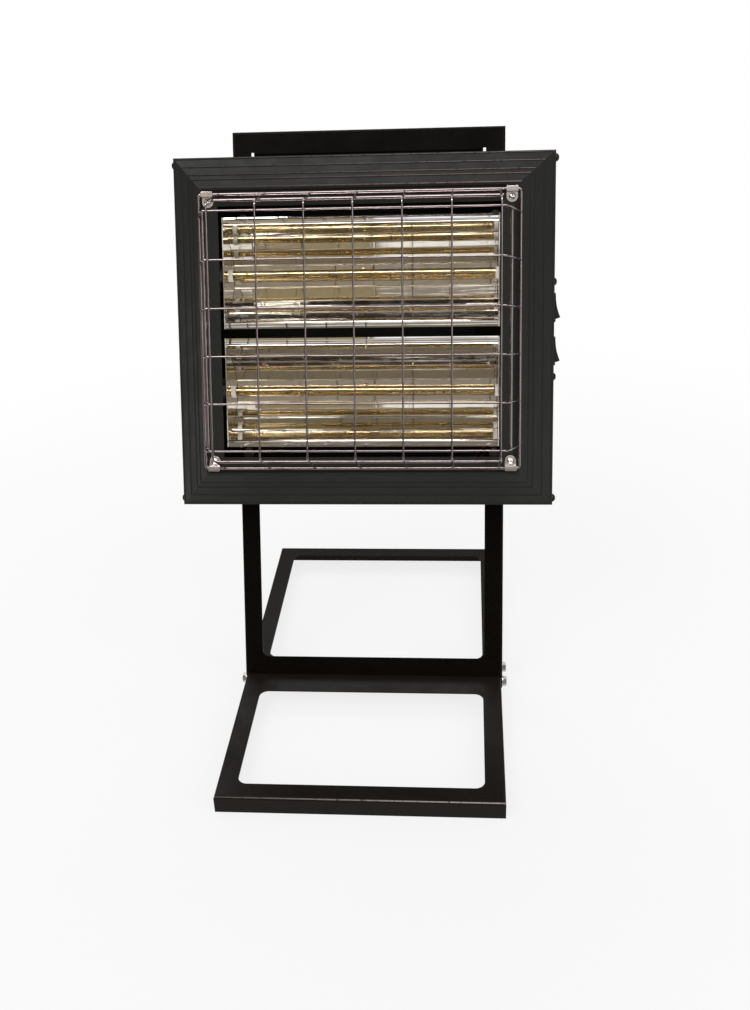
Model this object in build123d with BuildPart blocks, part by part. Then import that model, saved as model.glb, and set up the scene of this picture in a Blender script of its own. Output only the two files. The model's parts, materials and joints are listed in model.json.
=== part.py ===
from build123d import *
import os
from math import asin, cos, radians, sin, sqrt

os.makedirs("parts", exist_ok=True)

# Twin-lamp infrared patio heater on a folded-sheet floor stand, in millimetres.
# +Z is up, the front faces -Y, the origin is on the floor in the middle of the base.

# Stand sheet
sheet = 1.5
bend_radius = 3.0
corner_gap = 1.0

# Base frame
base_height = 20.0
front_reach = 206.0
rear_reach = 288.0
base_rail = 21.0
mid_rail_front = 31.0
mid_rail_rear = 34.0
base_window_radius = 10.0

# Upright frame
frame_width = 300.0
upright_length = 615.0
upright_depth = 25.0
lean = 21.0
leg_width = 21.0
top_rail = 26.5
bottom_rail = 21.0
upright_window_radius = 8.0
window_flange = 20.0
window_relief = 3.0
ear_reach = 44.0
ear_foot = 2.0
ear_radius = 6.0

# M6 fasteners of the stand and of the head's mounting
bolt_diameter = 6.0
bolt_hole = 6.6
bolt_head_flats = 10.0
bolt_head_height = 4.0
washer_diameter = 12.0
washer_thickness = 1.2
nut_height = 5.0
thread_clearance = 0.1
stand_bolt_length = 12.0
stand_bolt_height = 9.0
stand_bolt_front = 7.0
stand_bolt_pitch = 27.0
head_bolt_length = 12.0
head_bolt_low = 260.0
head_bolt_high = 520.0
rivet_nut_diameter = 9.0
rivet_nut_length = 9.0
rivet_nut_flange = 12.0
rivet_nut_flange_thickness = 1.0

# Head casing of four mitred extrusions
head_rise = 394.0
head_shift = -2.5
head_width = 408.0
head_height = 375.0
wall = 2.0
box_depth = 42.0
slope_run = 38.0
slope_rise = 50.0
crest_width = 3.0
crest_drop = 2.5
bezel_flange = 19.0
bead_radius = 0.9
bead_sink = 0.2
bead_places = (0.05, 0.33, 0.6, 0.75)
rear_lip = 12.0
panel_thickness = 1.5
panel_clearance = 0.3

# Domed screws of the walls
dome_diameter = 9.0
dome_height = 4.0
wall_screw_diameter = 4.0
wall_screw_length = 18.0
box_screw_length = 8.0
port_diameter = 10.0
corner_screw_edge = 6.5
corner_screw_depth = 32.6

# Pan-head screws and blind rivets
pan_diameter = 7.0
pan_height = 2.5
pan_screw_diameter = 3.5
pan_screw_length = 8.0
screw_clearance = 0.2
panel_screw_side = 110.0
panel_screw_end = 90.0
panel_screw_inset = 8.0
rivet_diameter = 3.2
rivet_head = 6.0
rivet_head_height = 1.0

# Wire guard
guard_wire = 2.0
guard_rim_wire = 3.0
guard_rod_wire = 3.0
guard_gap = 0.05
guard_seat = 0.2
guard_width = 331.4
guard_height = 283.8
guard_corner_radius = 3.5
guard_stand_off = 60.5
guard_front_width = 302.0
guard_front_height = 254.0
guard_bend_radius = 6.0
guard_columns = 7
guard_column_pitch = 48.2
guard_rows = 6
guard_row_pitch = 47.4
guard_rod_overhang = 2.5

# Guard clips
clip_width = 12.0
clip_thickness = 1.0
clip_gap = 0.3
clip_clearance = 0.2
clip_bend_radius = 0.8
clip_tongue_radius = 5.9

# Reflectors, with their cheeks, brackets and shield in one sheet
fitting_sheet = 1.0
fitting_bend = 1.5
trough_spacing = 125.0
trough_length = 287.0
trough_mouth = 101.0
trough_lip = 7.0
trough_front = 80.0
trough_back = 25.0
trough_sheet = 0.8
facet_places = (0.24, 0.54, 0.8, 1.0)
cheek_gap = 0.3
cheek_shoulder = 16.0
cheek_waist = 30.0
cheek_waist_depth = 20.0
foot_length = 10.0
bracket_width = 16.0
bracket_reach = 90.0
bracket_top = 20.0
shield_width = 240.0
shield_height = 236.0
shield_stand_off = 9.0
shield_rivet_reach = 95.0

# Lamps
lamp_depth = 42.0
tube_diameter = 10.5
tube_wall = 1.0
cap_diameter = 13.0
cap_overlap = 2.0
cap_length = 28.0
cap_socket = 6.0
cap_clearance = 0.3
filament_diameter = 2.4
support_disc = 7.8
support_thickness = 1.2
support_pitch = 57.3
support_count = 4
lamp_bracket_inset = 16.5
lamp_bracket_width = 28.0
lamp_bracket_top = 12.0

# Rocker switches
switch_centre = 1.9
switch_pitch = 46.2
switch_depth = 22.0
bezel_length = 31.0
bezel_width = 25.0
bezel_thickness = 2.0
bezel_radius = 1.5
housing_length = 28.0
housing_width = 21.5
housing_depth = 20.0
cutout_clearance = 0.2
rocker_radius = 12.2
rocker_width = 19.0
rocker_face_angle = 20.0
rocker_dish = 1.2
rocker_root = 4.0
rocker_throw = 24.0
rocker_clearance = 0.3
pivot_height = 0.7
pin_radius = 0.9
pin_length = 0.8
pin_clearance = 0.05
tab_width = 6.3
tab_thickness = 0.8
tab_length = 6.5
tab_pitch = 8.5

# Switch box behind the right wall
box_screw_pitch = 101.9
box_height = 92.0
box_width = 32.0
box_reach = 31.0
box_sheet = 1.0
box_tab = 14.0
lead_hole = 4.0

# Wiring and inlet
lead_diameter = 2.6
lead_radius = 4.0
load_lead_reach = 9.0
load_lead_inset = 23.5
load_lead_margin = 6.0
supply_lead_inset = 14.0
supply_lead_depth = 14.0
return_lead_reach = 10.5
return_lead_rise = 35.5
return_lead_step = 6.0
block_width = 24.0
block_height = 26.0
block_depth = 15.0
block_inset = 32.0
block_rise = 70.5
block_groove = 1.5
block_screw_hole = 4.0
block_lead_depth = 9.0
stud_inset = 48.0
stud_rise = 43.5
stud_diameter = 5.0
stud_length = 14.0
stud_nut_flats = 8.0
stud_nut_height = 4.0
gland_inset = 19.5
gland_rise = 29.5
gland_bore = 8.0
gland_thread = 16.0
gland_flats = 20.0
gland_collar = 5.0
gland_cap_diameter = 18.0
gland_cap_length = 13.0
gland_inner_length = 10.0
locknut_height = 4.0

# Sizes that follow from the ones above
base_width = frame_width - 2 * sheet
base_length = front_reach + rear_reach
fold_y = (front_reach - rear_reach) / 2
tilt = radians(lean)
leg_centre = (frame_width - leg_width) / 2
window_top = upright_length - top_rail
crest_depth = box_depth + slope_rise
flange_depth = crest_depth - crest_drop
lip_depth = panel_thickness
rim_depth = crest_depth + guard_rim_wire / 2 + guard_seat
guard_depth = rim_depth + guard_stand_off
trough_outside = trough_back - trough_sheet
shield_front = panel_thickness + shield_stand_off
upper_trough = trough_spacing / 2
lower_trough = -trough_spacing / 2
trough_centres = (upper_trough, lower_trough)
cheek_place = trough_length / 2 + cheek_gap
shield_half = shield_height / 2
bracket_half = bracket_top / 2
cap_start = trough_length / 2 - cap_overlap
tube_half = cap_start + cap_socket
cap_end = cap_start + cap_length
lamp_bracket_place = cap_start + lamp_bracket_inset
load_lead_place = head_width / 2 - load_lead_inset
supply_lead_place = head_width / 2 - supply_lead_inset
return_lead_place = cap_end + return_lead_reach
return_lead_height = head_height / 2 - return_lead_rise
block_place = (head_width / 2 - block_inset, block_rise - head_height / 2)
stud_place = (head_width / 2 - stud_inset, stud_rise - head_height / 2)
gland_place = (frame_width / 2 - leg_width - gland_inset, gland_rise - head_height / 2)
upper_switch = switch_pitch / 2
lower_switch = -switch_pitch / 2

# Face of the upright: x to the right, y up along it, z out of it
face = Plane(
    origin=(0, fold_y, base_height), x_dir=(1, 0, 0), z_dir=(0, -cos(tilt), sin(tilt))
)
head = Plane(
    origin=face.from_local_coords((head_shift, head_rise, 0)),
    x_dir=face.x_dir,
    z_dir=face.z_dir,
)
head_up = Axis(head.origin, head.y_dir)
head_forward = Axis(head.origin, head.z_dir)


def cross_plane(base, height):
    """Plane across the height of base: x to the right, y forward, facing down."""
    origin = base.from_local_coords((0, height, 0))
    return Plane(origin=origin, x_dir=base.x_dir, z_dir=-base.y_dir)


def side_plane(base, place):
    """Plane across the width of base: x up along it, y forward, facing right."""
    origin = base.from_local_coords((place, 0, 0))
    return Plane(origin=origin, x_dir=base.y_dir, z_dir=base.x_dir)


def stand_point(height, depth):
    """World Y and Z of a point on the upright's side."""
    return (
        fold_y + height * sin(tilt) - depth * cos(tilt),
        base_height + height * cos(tilt) + depth * sin(tilt),
    )


def folded(points, thickness, radius=0.0):
    """Section of a sheet folded along points, with its thickness to their right."""
    with BuildSketch() as section:
        with BuildLine():
            if radius:
                FilletPolyline(*points, radius=radius)
            else:
                Polyline(*points)
            offset(amount=thickness, side=Side.RIGHT, kind=Kind.TANGENT)
        make_face()
    return section.sketch


def hexagon_radius(flats):
    """Corner radius of a hexagon with this width across its flats."""
    return flats / sqrt(3)


stand_bolt_places = [
    (fold_y + stand_bolt_front, stand_bolt_height),
    (fold_y + stand_bolt_front + stand_bolt_pitch, stand_bolt_height),
]
head_bolt_places = [
    (side * leg_centre, height)
    for side in (-1, 1)
    for height in (head_bolt_low, head_bolt_high)
]

# ---------------------------------------------------------------- stand

with BuildPart() as base_frame:
    half_width = base_width / 2
    half_length = base_length / 2
    # lips and side flanges meet in welded corners
    with BuildSketch():
        Rectangle(base_width, base_length)
    extrude(amount=base_height)
    fillet(base_frame.edges().group_by(Axis.Z)[-1], bend_radius)
    offset(amount=-sheet, openings=base_frame.faces().sort_by(Axis.Z)[0])
    with BuildSketch(Plane.XY.offset(base_height)):
        for near, far in (
            (base_rail - half_length, fold_y - mid_rail_front),
            (fold_y + mid_rail_rear, half_length - base_rail),
        ):
            with Locations((0, (near + far) / 2)):
                RectangleRounded(base_width - 2 * base_rail, far - near, base_window_radius)
    extrude(amount=-sheet, mode=Mode.SUBTRACT)
    with BuildSketch(Plane.YZ.offset(-half_width)):
        with Locations(*stand_bolt_places):
            Circle(bolt_hole / 2)
    extrude(amount=base_width, mode=Mode.SUBTRACT)
base_frame.part.label = "base_frame"
export_step(base_frame.part, "parts/base_frame.step")

with BuildPart() as upright_frame:
    half_width = frame_width / 2
    # ears that reach down outside the base's flanges
    front_foot = (ear_foot - base_height + bend_radius * sin(tilt)) / cos(tilt)
    rear_join = (ear_reach - upright_depth * cos(tilt)) / sin(tilt)
    with BuildSketch(Plane.YZ.offset(half_width - sheet)):
        with BuildLine():
            Polyline(
                stand_point(front_foot, -bend_radius),
                (fold_y + ear_reach, ear_foot),
                stand_point(rear_join, -upright_depth),
                stand_point(rear_join, -bend_radius),
                close=True,
            )
        ear = make_face()
        fillet(ear.vertices().group_by(Axis.Y)[0], ear_radius)
    extrude(amount=sheet)
    mirror(about=Plane.YZ)
    # face with its side flanges and top flange, which meet in welded corners
    with BuildPart(mode=Mode.PRIVATE) as tray:
        with BuildSketch(face):
            with Locations((0, upright_length / 2)):
                Rectangle(frame_width, upright_length)
        extrude(amount=-upright_depth)
        front_face = tray.faces().sort_by(head_forward)[-1]
        fillet(front_face.edges().sort_by(head_up)[1:], bend_radius)
        back_face = tray.faces().sort_by(head_forward)[0]
        foot_face = tray.faces().sort_by(head_up)[0]
        offset(amount=-sheet, openings=[back_face, foot_face])
    add(tray.part)
    with BuildSketch(Plane.XY.offset(base_height)):
        with Locations((0, fold_y)):
            Rectangle(base_width, 4 * bend_radius)
    extrude(amount=-base_height, mode=Mode.SUBTRACT)
    # window, open at the top into the relief of its folded-back flange
    window_width = frame_width - 2 * leg_width
    window_height = window_top + bend_radius + corner_gap - bottom_rail
    with BuildSketch(face):
        with Locations((0, bottom_rail + window_height / 2)):
            window = Rectangle(window_width, window_height)
        fillet(window.vertices().group_by(Axis.Y)[0], upright_window_radius)
        fillet(window.vertices().group_by(Axis.Y)[-1], window_relief)
    extrude(amount=-sheet, mode=Mode.SUBTRACT)
    flange_width = window_width - 2 * window_relief
    with BuildSketch(side_plane(face, -flange_width / 2)):
        add(
            folded(
                [(window_top, -window_flange), (window_top, 0), (window_top + top_rail / 2, 0)],
                sheet,
                bend_radius,
            )
        )
    extrude(amount=flange_width)
    with BuildSketch(Plane.YZ.offset(-half_width)):
        with Locations(*stand_bolt_places):
            Circle(bolt_hole / 2)
    extrude(amount=frame_width, mode=Mode.SUBTRACT)
    with BuildSketch(face):
        with Locations(*head_bolt_places):
            Circle(bolt_hole / 2)
    extrude(amount=-sheet, mode=Mode.SUBTRACT)
upright_frame.part.label = "upright_frame"
export_step(upright_frame.part, "parts/upright_frame.step")

with BuildPart() as stand_washers:
    with BuildSketch(Plane.YZ.offset(frame_width / 2)):
        with Locations(*stand_bolt_places):
            Circle(washer_diameter / 2)
            Circle(bolt_hole / 2, mode=Mode.SUBTRACT)
    extrude(amount=washer_thickness)
    mirror(about=Plane.YZ)
stand_washers.part.label = "stand_washers"
export_step(stand_washers.part, "parts/stand_washers.step")

with BuildPart() as stand_bolts:
    seat = Plane.YZ.offset(frame_width / 2 + washer_thickness)
    with BuildSketch(seat):
        with Locations(*stand_bolt_places):
            RegularPolygon(hexagon_radius(bolt_head_flats), 6)
    extrude(amount=bolt_head_height)
    chamfer(stand_bolts.faces().sort_by(Axis.X)[-len(stand_bolt_places) :].edges(), 0.5)
    with BuildSketch(seat):
        with Locations(*stand_bolt_places):
            Circle(bolt_diameter / 2)
    extrude(amount=-stand_bolt_length)
    mirror(about=Plane.YZ)
stand_bolts.part.label = "stand_bolts"
export_step(stand_bolts.part, "parts/stand_bolts.step")

with BuildPart() as stand_nuts:
    with BuildSketch(Plane.YZ.offset(base_width / 2 - sheet)):
        with Locations(*stand_bolt_places):
            RegularPolygon(hexagon_radius(bolt_head_flats), 6)
            Circle(bolt_diameter / 2 + thread_clearance, mode=Mode.SUBTRACT)
    extrude(amount=-nut_height)
    mirror(about=Plane.YZ)
stand_nuts.part.label = "stand_nuts"
export_step(stand_nuts.part, "parts/stand_nuts.step")

# ---------------------------------------------------------------- head casing

# clips over the guard's rim, inside the crests of the side members
rim_clear = guard_rim_wire / 2 + clip_clearance
clip_inner = guard_height / 2 - rim_clear
clip_outer = guard_height / 2 + rim_clear
clip_top = rim_depth + rim_clear
clip_place = head_width / 2 - slope_run - crest_width - clip_gap - clip_width / 2
clip_screw = clip_inner - clip_thickness - clip_bend_radius - pan_diameter / 2
clip_end = clip_screw - clip_width / 2
clip_screw_places = [
    (side * clip_place, end * clip_screw) for side in (-1, 1) for end in (-1, 1)
]

# section of the extrusion: x inward from the outer face, y forward
with BuildSketch() as casing_section:
    slope_start = (0, box_depth)
    slope_end = (slope_run, crest_depth)
    crest_end = slope_run + crest_width
    add(
        folded(
            [
                (0, 0),
                slope_start,
                slope_end,
                (crest_end, crest_depth),
                (crest_end, flange_depth),
                (slope_run + bezel_flange, flange_depth),
            ],
            wall,
        )
    )
    with Locations((wall / 2 + rear_lip / 2, lip_depth + wall / 2)):
        Rectangle(rear_lip + wall, wall)
    slope_length = sqrt(slope_run**2 + slope_rise**2)
    sink_x = bead_sink * slope_rise / slope_length
    sink_y = -bead_sink * slope_run / slope_length
    with Locations(
        *[
            (place * slope_run + sink_x, box_depth + place * slope_rise + sink_y)
            for place in bead_places
        ]
    ):
        Circle(bead_radius)

with BuildSketch() as ported_section:
    add(casing_section.sketch)
    with Locations((corner_screw_edge, corner_screw_depth)):
        Circle(port_diameter / 2)
    with BuildSketch(mode=Mode.SUBTRACT):
        with Locations((corner_screw_edge, corner_screw_depth)):
            Circle(wall_screw_diameter / 2 + thread_clearance)


# rear panel inside the walls, against the extrusions' rear lips
panel_width = head_width - 2 * (wall + panel_clearance)
panel_height = head_height - 2 * (wall + panel_clearance)
side_inset = panel_width / 2 - panel_screw_inset
end_inset = panel_height / 2 - panel_screw_inset
panel_screw_places = [
    (side * side_inset, end * panel_screw_side) for side in (-1, 1) for end in (-1, 1)
] + [(side * panel_screw_end, end * end_inset) for side in (-1, 1) for end in (-1, 1)]


def casing_member(section, centre, inward, length):
    """One extrusion from its outer face's centre, mitred at 45 degrees at both ends."""
    across = Plane(
        origin=head.from_local_coords(centre), x_dir=inward, z_dir=inward.cross(head.z_dir)
    )
    with BuildPart() as member:
        with BuildSketch(across):
            add(section.sketch)
        extrude(amount=length / 2, both=True)
        for side in (-1, 1):
            corner = across.from_local_coords((0, 0, side * length / 2))
            mitre = Plane(origin=corner, z_dir=across.x_dir + across.z_dir * side)
            split(bisect_by=mitre, keep=Keep.BOTTOM)
        with BuildSketch(head):
            with Locations(*panel_screw_places):
                Circle(pan_screw_diameter / 2 + screw_clearance)
        extrude(amount=lip_depth + wall, mode=Mode.SUBTRACT)
        with BuildSketch(head.offset(flange_depth)):
            with Locations(*clip_screw_places):
                Circle(pan_screw_diameter / 2 + screw_clearance)
        extrude(amount=-wall, mode=Mode.SUBTRACT)
    return member.part


corner_screw_places = [
    (side * (head_height / 2 - corner_screw_edge), corner_screw_depth) for side in (-1, 1)
]

with BuildPart() as casing_top:
    add(casing_member(ported_section, (0, head_height / 2, 0), -head.y_dir, head_width))
casing_top.part.label = "casing_top"
export_step(casing_top.part, "parts/casing_top.step")

with BuildPart() as casing_bottom:
    add(casing_member(ported_section, (0, -head_height / 2, 0), head.y_dir, head_width))
casing_bottom.part.label = "casing_bottom"
export_step(casing_bottom.part, "parts/casing_bottom.step")

with BuildPart() as casing_left:
    add(casing_member(casing_section, (-head_width / 2, 0, 0), head.x_dir, head_height))
    with BuildSketch(side_plane(head, -head_width / 2)):
        with Locations(*corner_screw_places):
            Circle(wall_screw_diameter / 2 + screw_clearance)
    extrude(amount=wall, mode=Mode.SUBTRACT)
casing_left.part.label = "casing_left"
export_step(casing_left.part, "parts/casing_left.step")

right_wall = Plane(
    origin=head.from_local_coords((head_width / 2, switch_centre, switch_depth)),
    x_dir=head.y_dir,
    z_dir=head.x_dir,
)
box_screw_places = [(side * box_screw_pitch / 2, 0) for side in (-1, 1)]

with BuildPart() as casing_right:
    add(casing_member(casing_section, (head_width / 2, 0, 0), -head.x_dir, head_height))
    with BuildSketch(side_plane(head, head_width / 2)):
        with Locations(*corner_screw_places):
            Circle(wall_screw_diameter / 2 + screw_clearance)
    extrude(amount=-wall, mode=Mode.SUBTRACT)
    with BuildSketch(right_wall):
        with Locations((upper_switch, 0), (lower_switch, 0)):
            Rectangle(housing_length + 2 * cutout_clearance, housing_width + 2 * cutout_clearance)
        with Locations(*box_screw_places):
            Circle(wall_screw_diameter / 2 + screw_clearance)
    extrude(amount=-wall, mode=Mode.SUBTRACT)
casing_right.part.label = "casing_right"
export_step(casing_right.part, "parts/casing_right.step")


def dome_screws(plane, places, length):
    """Domed heads on the plane, one at each place, with their shanks behind it."""
    cap_radius = (dome_diameter**2 / 4 + dome_height**2) / (2 * dome_height)
    with BuildPart() as screw:
        with BuildSketch(Plane.XZ):
            with BuildLine():
                Line((0, -length), (wall_screw_diameter / 2, -length))
                Line((wall_screw_diameter / 2, -length), (wall_screw_diameter / 2, 0))
                Line((wall_screw_diameter / 2, 0), (dome_diameter / 2, 0))
                RadiusArc((dome_diameter / 2, 0), (0, dome_height), -cap_radius)
                Line((0, dome_height), (0, -length))
            make_face()
        revolve(axis=Axis.Z)
    return [plane * Pos(*place) * screw.part for place in places]


with BuildPart() as casing_corner_screws:
    add(dome_screws(side_plane(head, head_width / 2), corner_screw_places, wall_screw_length))
    mirror(about=side_plane(head, 0))
casing_corner_screws.part.label = "casing_corner_screws"
export_step(casing_corner_screws.part, "parts/casing_corner_screws.step")

# blind rivets through the feet that stand on the rear panel and on the shield
ends = [(side, end) for side in (-1, 1) for end in (-1, 1)]
cheek_rivet = cheek_place + fitting_sheet + foot_length / 2
lamp_rivet = lamp_bracket_place + fitting_sheet + foot_length / 2
panel_rivet_places = [
    (side * cheek_rivet, centre + end * cheek_waist / 2) for side, end in ends for centre in trough_centres
]
panel_rivet_places += [
    (side * lamp_rivet, centre + end * lamp_bracket_width / 4)
    for side, end in ends
    for centre in trough_centres
]
panel_rivet_places += [
    (side * shield_rivet_reach, end * (shield_half + foot_length / 2)) for side, end in ends
]
shield_rivet_places = [
    (side * bracket_reach, centre + end * (bracket_half + foot_length / 2))
    for side, end in ends
    for centre in trough_centres
]

with BuildPart() as rear_panel:
    with BuildSketch(head):
        Rectangle(panel_width, panel_height)
        with Locations(*panel_rivet_places):
            Circle(rivet_diameter / 2 + thread_clearance, mode=Mode.SUBTRACT)
        with Locations(*panel_screw_places):
            Circle(pan_screw_diameter / 2 + screw_clearance, mode=Mode.SUBTRACT)
        with Locations(gland_place):
            Circle(gland_thread / 2 + screw_clearance, mode=Mode.SUBTRACT)
        with Locations(stud_place):
            Circle(stud_diameter / 2 + screw_clearance, mode=Mode.SUBTRACT)
    extrude(amount=panel_thickness)
    with BuildSketch(face):
        with Locations(*head_bolt_places):
            Circle(rivet_nut_diameter / 2)
    extrude(amount=panel_thickness, mode=Mode.SUBTRACT)
rear_panel.part.label = "rear_panel"
export_step(rear_panel.part, "parts/rear_panel.step")

with BuildPart() as rear_panel_screws:
    with BuildSketch(head):
        with Locations(*panel_screw_places):
            Circle(pan_diameter / 2)
    extrude(amount=-pan_height)
    with BuildSketch(head):
        with Locations(*panel_screw_places):
            Circle(pan_screw_diameter / 2)
    extrude(amount=pan_screw_length)
rear_panel_screws.part.label = "rear_panel_screws"
export_step(rear_panel_screws.part, "parts/rear_panel_screws.step")

with BuildPart() as head_mount_bolts:
    seat = face.offset(-sheet)
    with BuildSketch(seat):
        with Locations(*head_bolt_places):
            RegularPolygon(hexagon_radius(bolt_head_flats), 6)
    extrude(amount=-bolt_head_height)
    with BuildSketch(seat):
        with Locations(*head_bolt_places):
            Circle(bolt_diameter / 2)
    extrude(amount=head_bolt_length)
head_mount_bolts.part.label = "head_mount_bolts"
export_step(head_mount_bolts.part, "parts/head_mount_bolts.step")

with BuildPart() as head_mount_nuts:
    with BuildSketch(face):
        with Locations(*head_bolt_places):
            Circle(rivet_nut_diameter / 2)
    extrude(amount=panel_thickness + rivet_nut_length)
    with BuildSketch(face.offset(panel_thickness)):
        with Locations(*head_bolt_places):
            Circle(rivet_nut_flange / 2)
    extrude(amount=rivet_nut_flange_thickness)
    with BuildSketch(face):
        with Locations(*head_bolt_places):
            Circle(bolt_diameter / 2 + thread_clearance)
    extrude(amount=panel_thickness + rivet_nut_length, mode=Mode.SUBTRACT)
head_mount_nuts.part.label = "head_mount_nuts"
export_step(head_mount_nuts.part, "parts/head_mount_nuts.step")

# ---------------------------------------------------------------- wire guard


def guard_wires(base, front, rim, depth, places):
    """Wires along the base's x, one at each place up it, bent back onto the rim at both ends."""
    corner = Vector(front / 2, 0, depth)
    foot = Vector(rim / 2, 0, rim_depth)
    foot += (corner - foot).normalized() * (guard_rim_wire / 2 + guard_gap)
    with BuildPart() as wires:
        for place in places:
            points = [
                (-foot.X, place, foot.Z),
                (-corner.X, place, corner.Z),
                (corner.X, place, corner.Z),
                (foot.X, place, foot.Z),
            ]
            with BuildLine() as path:
                FilletPolyline(
                    *[base.from_local_coords(point) for point in points], radius=guard_bend_radius
                )
            with BuildSketch(Plane(origin=path.line @ 0, z_dir=path.line % 0)):
                Circle(guard_wire / 2)
            sweep()
    return wires.part


column_places = [
    (column - (guard_columns - 1) / 2) * guard_column_pitch for column in range(guard_columns)
]
row_places = [(row - (guard_rows - 1) / 2) * guard_row_pitch for row in range(guard_rows)]
row_depth = guard_depth - guard_wire - guard_gap

with BuildPart() as guard_row_wires:
    add(guard_wires(head, guard_front_width, guard_width, row_depth, row_places))
guard_row_wires.part.label = "guard_row_wires"
export_step(guard_row_wires.part, "parts/guard_row_wires.step")

with BuildPart() as guard_column_wires:
    head_turned = Plane(origin=head.origin, x_dir=head.y_dir, z_dir=head.z_dir)
    add(guard_wires(head_turned, guard_front_height, guard_height, guard_depth, column_places))
guard_column_wires.part.label = "guard_column_wires"
export_step(guard_column_wires.part, "parts/guard_column_wires.step")

rim_corners = [
    (-guard_width / 2, -guard_height / 2),
    (guard_width / 2, -guard_height / 2),
    (guard_width / 2, guard_height / 2),
    (-guard_width / 2, guard_height / 2),
]

with BuildPart() as guard_rim:
    with BuildLine(head.offset(rim_depth)) as rim:
        FilletPolyline(*rim_corners, radius=guard_corner_radius, close=True)
    with BuildSketch(Plane(origin=rim.line @ 0, z_dir=rim.line % 0)):
        Circle(guard_rim_wire / 2)
    sweep()
guard_rim.part.label = "guard_rim"
export_step(guard_rim.part, "parts/guard_rim.step")

# stiffener rods halfway along the bent-back ends, on their inner side
rod_depth = (rim_depth + guard_depth) / 2


def rod_place(front, rim, depth):
    """Where a rod's middle lies when the rod rests inside these bent-back ends."""
    slope = (rim - front) / 2 / (depth - rim_depth)
    inset = ((guard_wire + guard_rod_wire) / 2 + guard_gap) * sqrt(1 + slope**2)
    return front / 2 + slope * (depth - rod_depth) - inset


rod_side = rod_place(guard_front_width, guard_width, row_depth)
rod_end = rod_place(guard_front_height, guard_height, guard_depth)
rod_half_width = column_places[-1] + guard_rod_overhang
rod_half_height = row_places[-1] + guard_rod_overhang

with BuildPart() as guard_rods:
    for side in (-1, 1):
        with BuildSketch(side_plane(head, -rod_half_width)):
            with Locations((side * rod_end, rod_depth)):
                Circle(guard_rod_wire / 2)
        extrude(amount=2 * rod_half_width)
        with BuildSketch(cross_plane(head, rod_half_height)):
            with Locations((side * rod_side, rod_depth)):
                Circle(guard_rod_wire / 2)
        extrude(amount=2 * rod_half_height)
guard_rods.part.label = "guard_rods"
export_step(guard_rods.part, "parts/guard_rods.step")

# clips that fold over the rim near its corners and screw to the bezel's flange
with BuildPart() as guard_clips:
    with BuildSketch(side_plane(head, clip_place - clip_width / 2)):
        add(
            folded(
                [
                    (clip_outer, flange_depth),
                    (clip_outer, clip_top),
                    (clip_inner, clip_top),
                    (clip_inner, flange_depth),
                    (clip_end, flange_depth),
                ],
                clip_thickness,
            )
        )
    extrude(amount=clip_width)
    tongue_end = guard_clips.faces().sort_by(head_up)[0]
    fillet(tongue_end.edges().filter_by(head_forward), clip_tongue_radius)
    with BuildSketch(head.offset(flange_depth)):
        with Locations((clip_place, clip_screw)):
            Circle(pan_screw_diameter / 2 + screw_clearance)
    extrude(amount=clip_thickness, mode=Mode.SUBTRACT)
    mirror(about=side_plane(head, 0))
    mirror(about=cross_plane(head, 0))
guard_clips.part.label = "guard_clips"
export_step(guard_clips.part, "parts/guard_clips.step")

with BuildPart() as guard_clip_screws:
    clip_face = head.offset(flange_depth + clip_thickness)
    with BuildSketch(clip_face):
        with Locations(*clip_screw_places):
            Circle(pan_diameter / 2)
    extrude(amount=pan_height)
    heads = guard_clip_screws.faces().sort_by(head_forward)[-len(clip_screw_places) :]
    fillet(heads.edges(), pan_height / 2)
    with BuildSketch(clip_face):
        with Locations(*clip_screw_places):
            Circle(pan_screw_diameter / 2)
    extrude(amount=-pan_screw_length)
guard_clip_screws.part.label = "guard_clip_screws"
export_step(guard_clip_screws.part, "parts/guard_clip_screws.step")

# ---------------------------------------------------------------- reflectors and lamps

# a parabola in facets: flat behind the lamp, then steeper towards the mouth
first_facet = facet_places[0]
trough_half = [
    (
        trough_mouth / 2 * place,
        trough_back + (trough_front - trough_back) * (place**2 - first_facet**2) / (1 - first_facet**2),
    )
    for place in facet_places
]
trough_half.append((trough_mouth / 2 + trough_lip, trough_front))
trough_points = [(-y, depth) for y, depth in reversed(trough_half)] + trough_half


def reflector(centre):
    """Folded trough with lips, its middle at this height on the head."""
    with BuildPart() as trough:
        with BuildSketch(side_plane(head, -trough_length / 2)):
            with Locations((centre, 0)):
                add(folded(trough_points, trough_sheet))
        extrude(amount=trough_length)
    return trough.part


def reflector_cheeks(centre):
    """End plates just outside the trough, each with the lamp's hole and a foot."""
    top = trough_mouth / 2 + trough_lip
    with BuildPart() as cheeks:
        with BuildSketch(side_plane(head, cheek_place)):
            with BuildLine():
                Polyline(
                    (centre - top, trough_front),
                    (centre + top, trough_front),
                    (centre + top, trough_front - cheek_shoulder),
                    (centre + cheek_waist, cheek_waist_depth),
                    (centre + cheek_waist, panel_thickness),
                    (centre - cheek_waist, panel_thickness),
                    (centre - cheek_waist, cheek_waist_depth),
                    (centre - top, trough_front - cheek_shoulder),
                    close=True,
                )
            make_face()
            with Locations((centre, lamp_depth)):
                Circle(cap_diameter / 2 + cap_clearance, mode=Mode.SUBTRACT)
        extrude(amount=fitting_sheet)
        with BuildSketch(head.offset(panel_thickness)):
            with Locations((cheek_rivet, centre)):
                Rectangle(foot_length, 2 * cheek_waist)
            with Locations(*panel_rivet_places):
                Circle(rivet_diameter / 2 + thread_clearance, mode=Mode.SUBTRACT)
        extrude(amount=fitting_sheet)
        mirror(about=side_plane(head, 0))
    return cheeks.part


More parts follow.
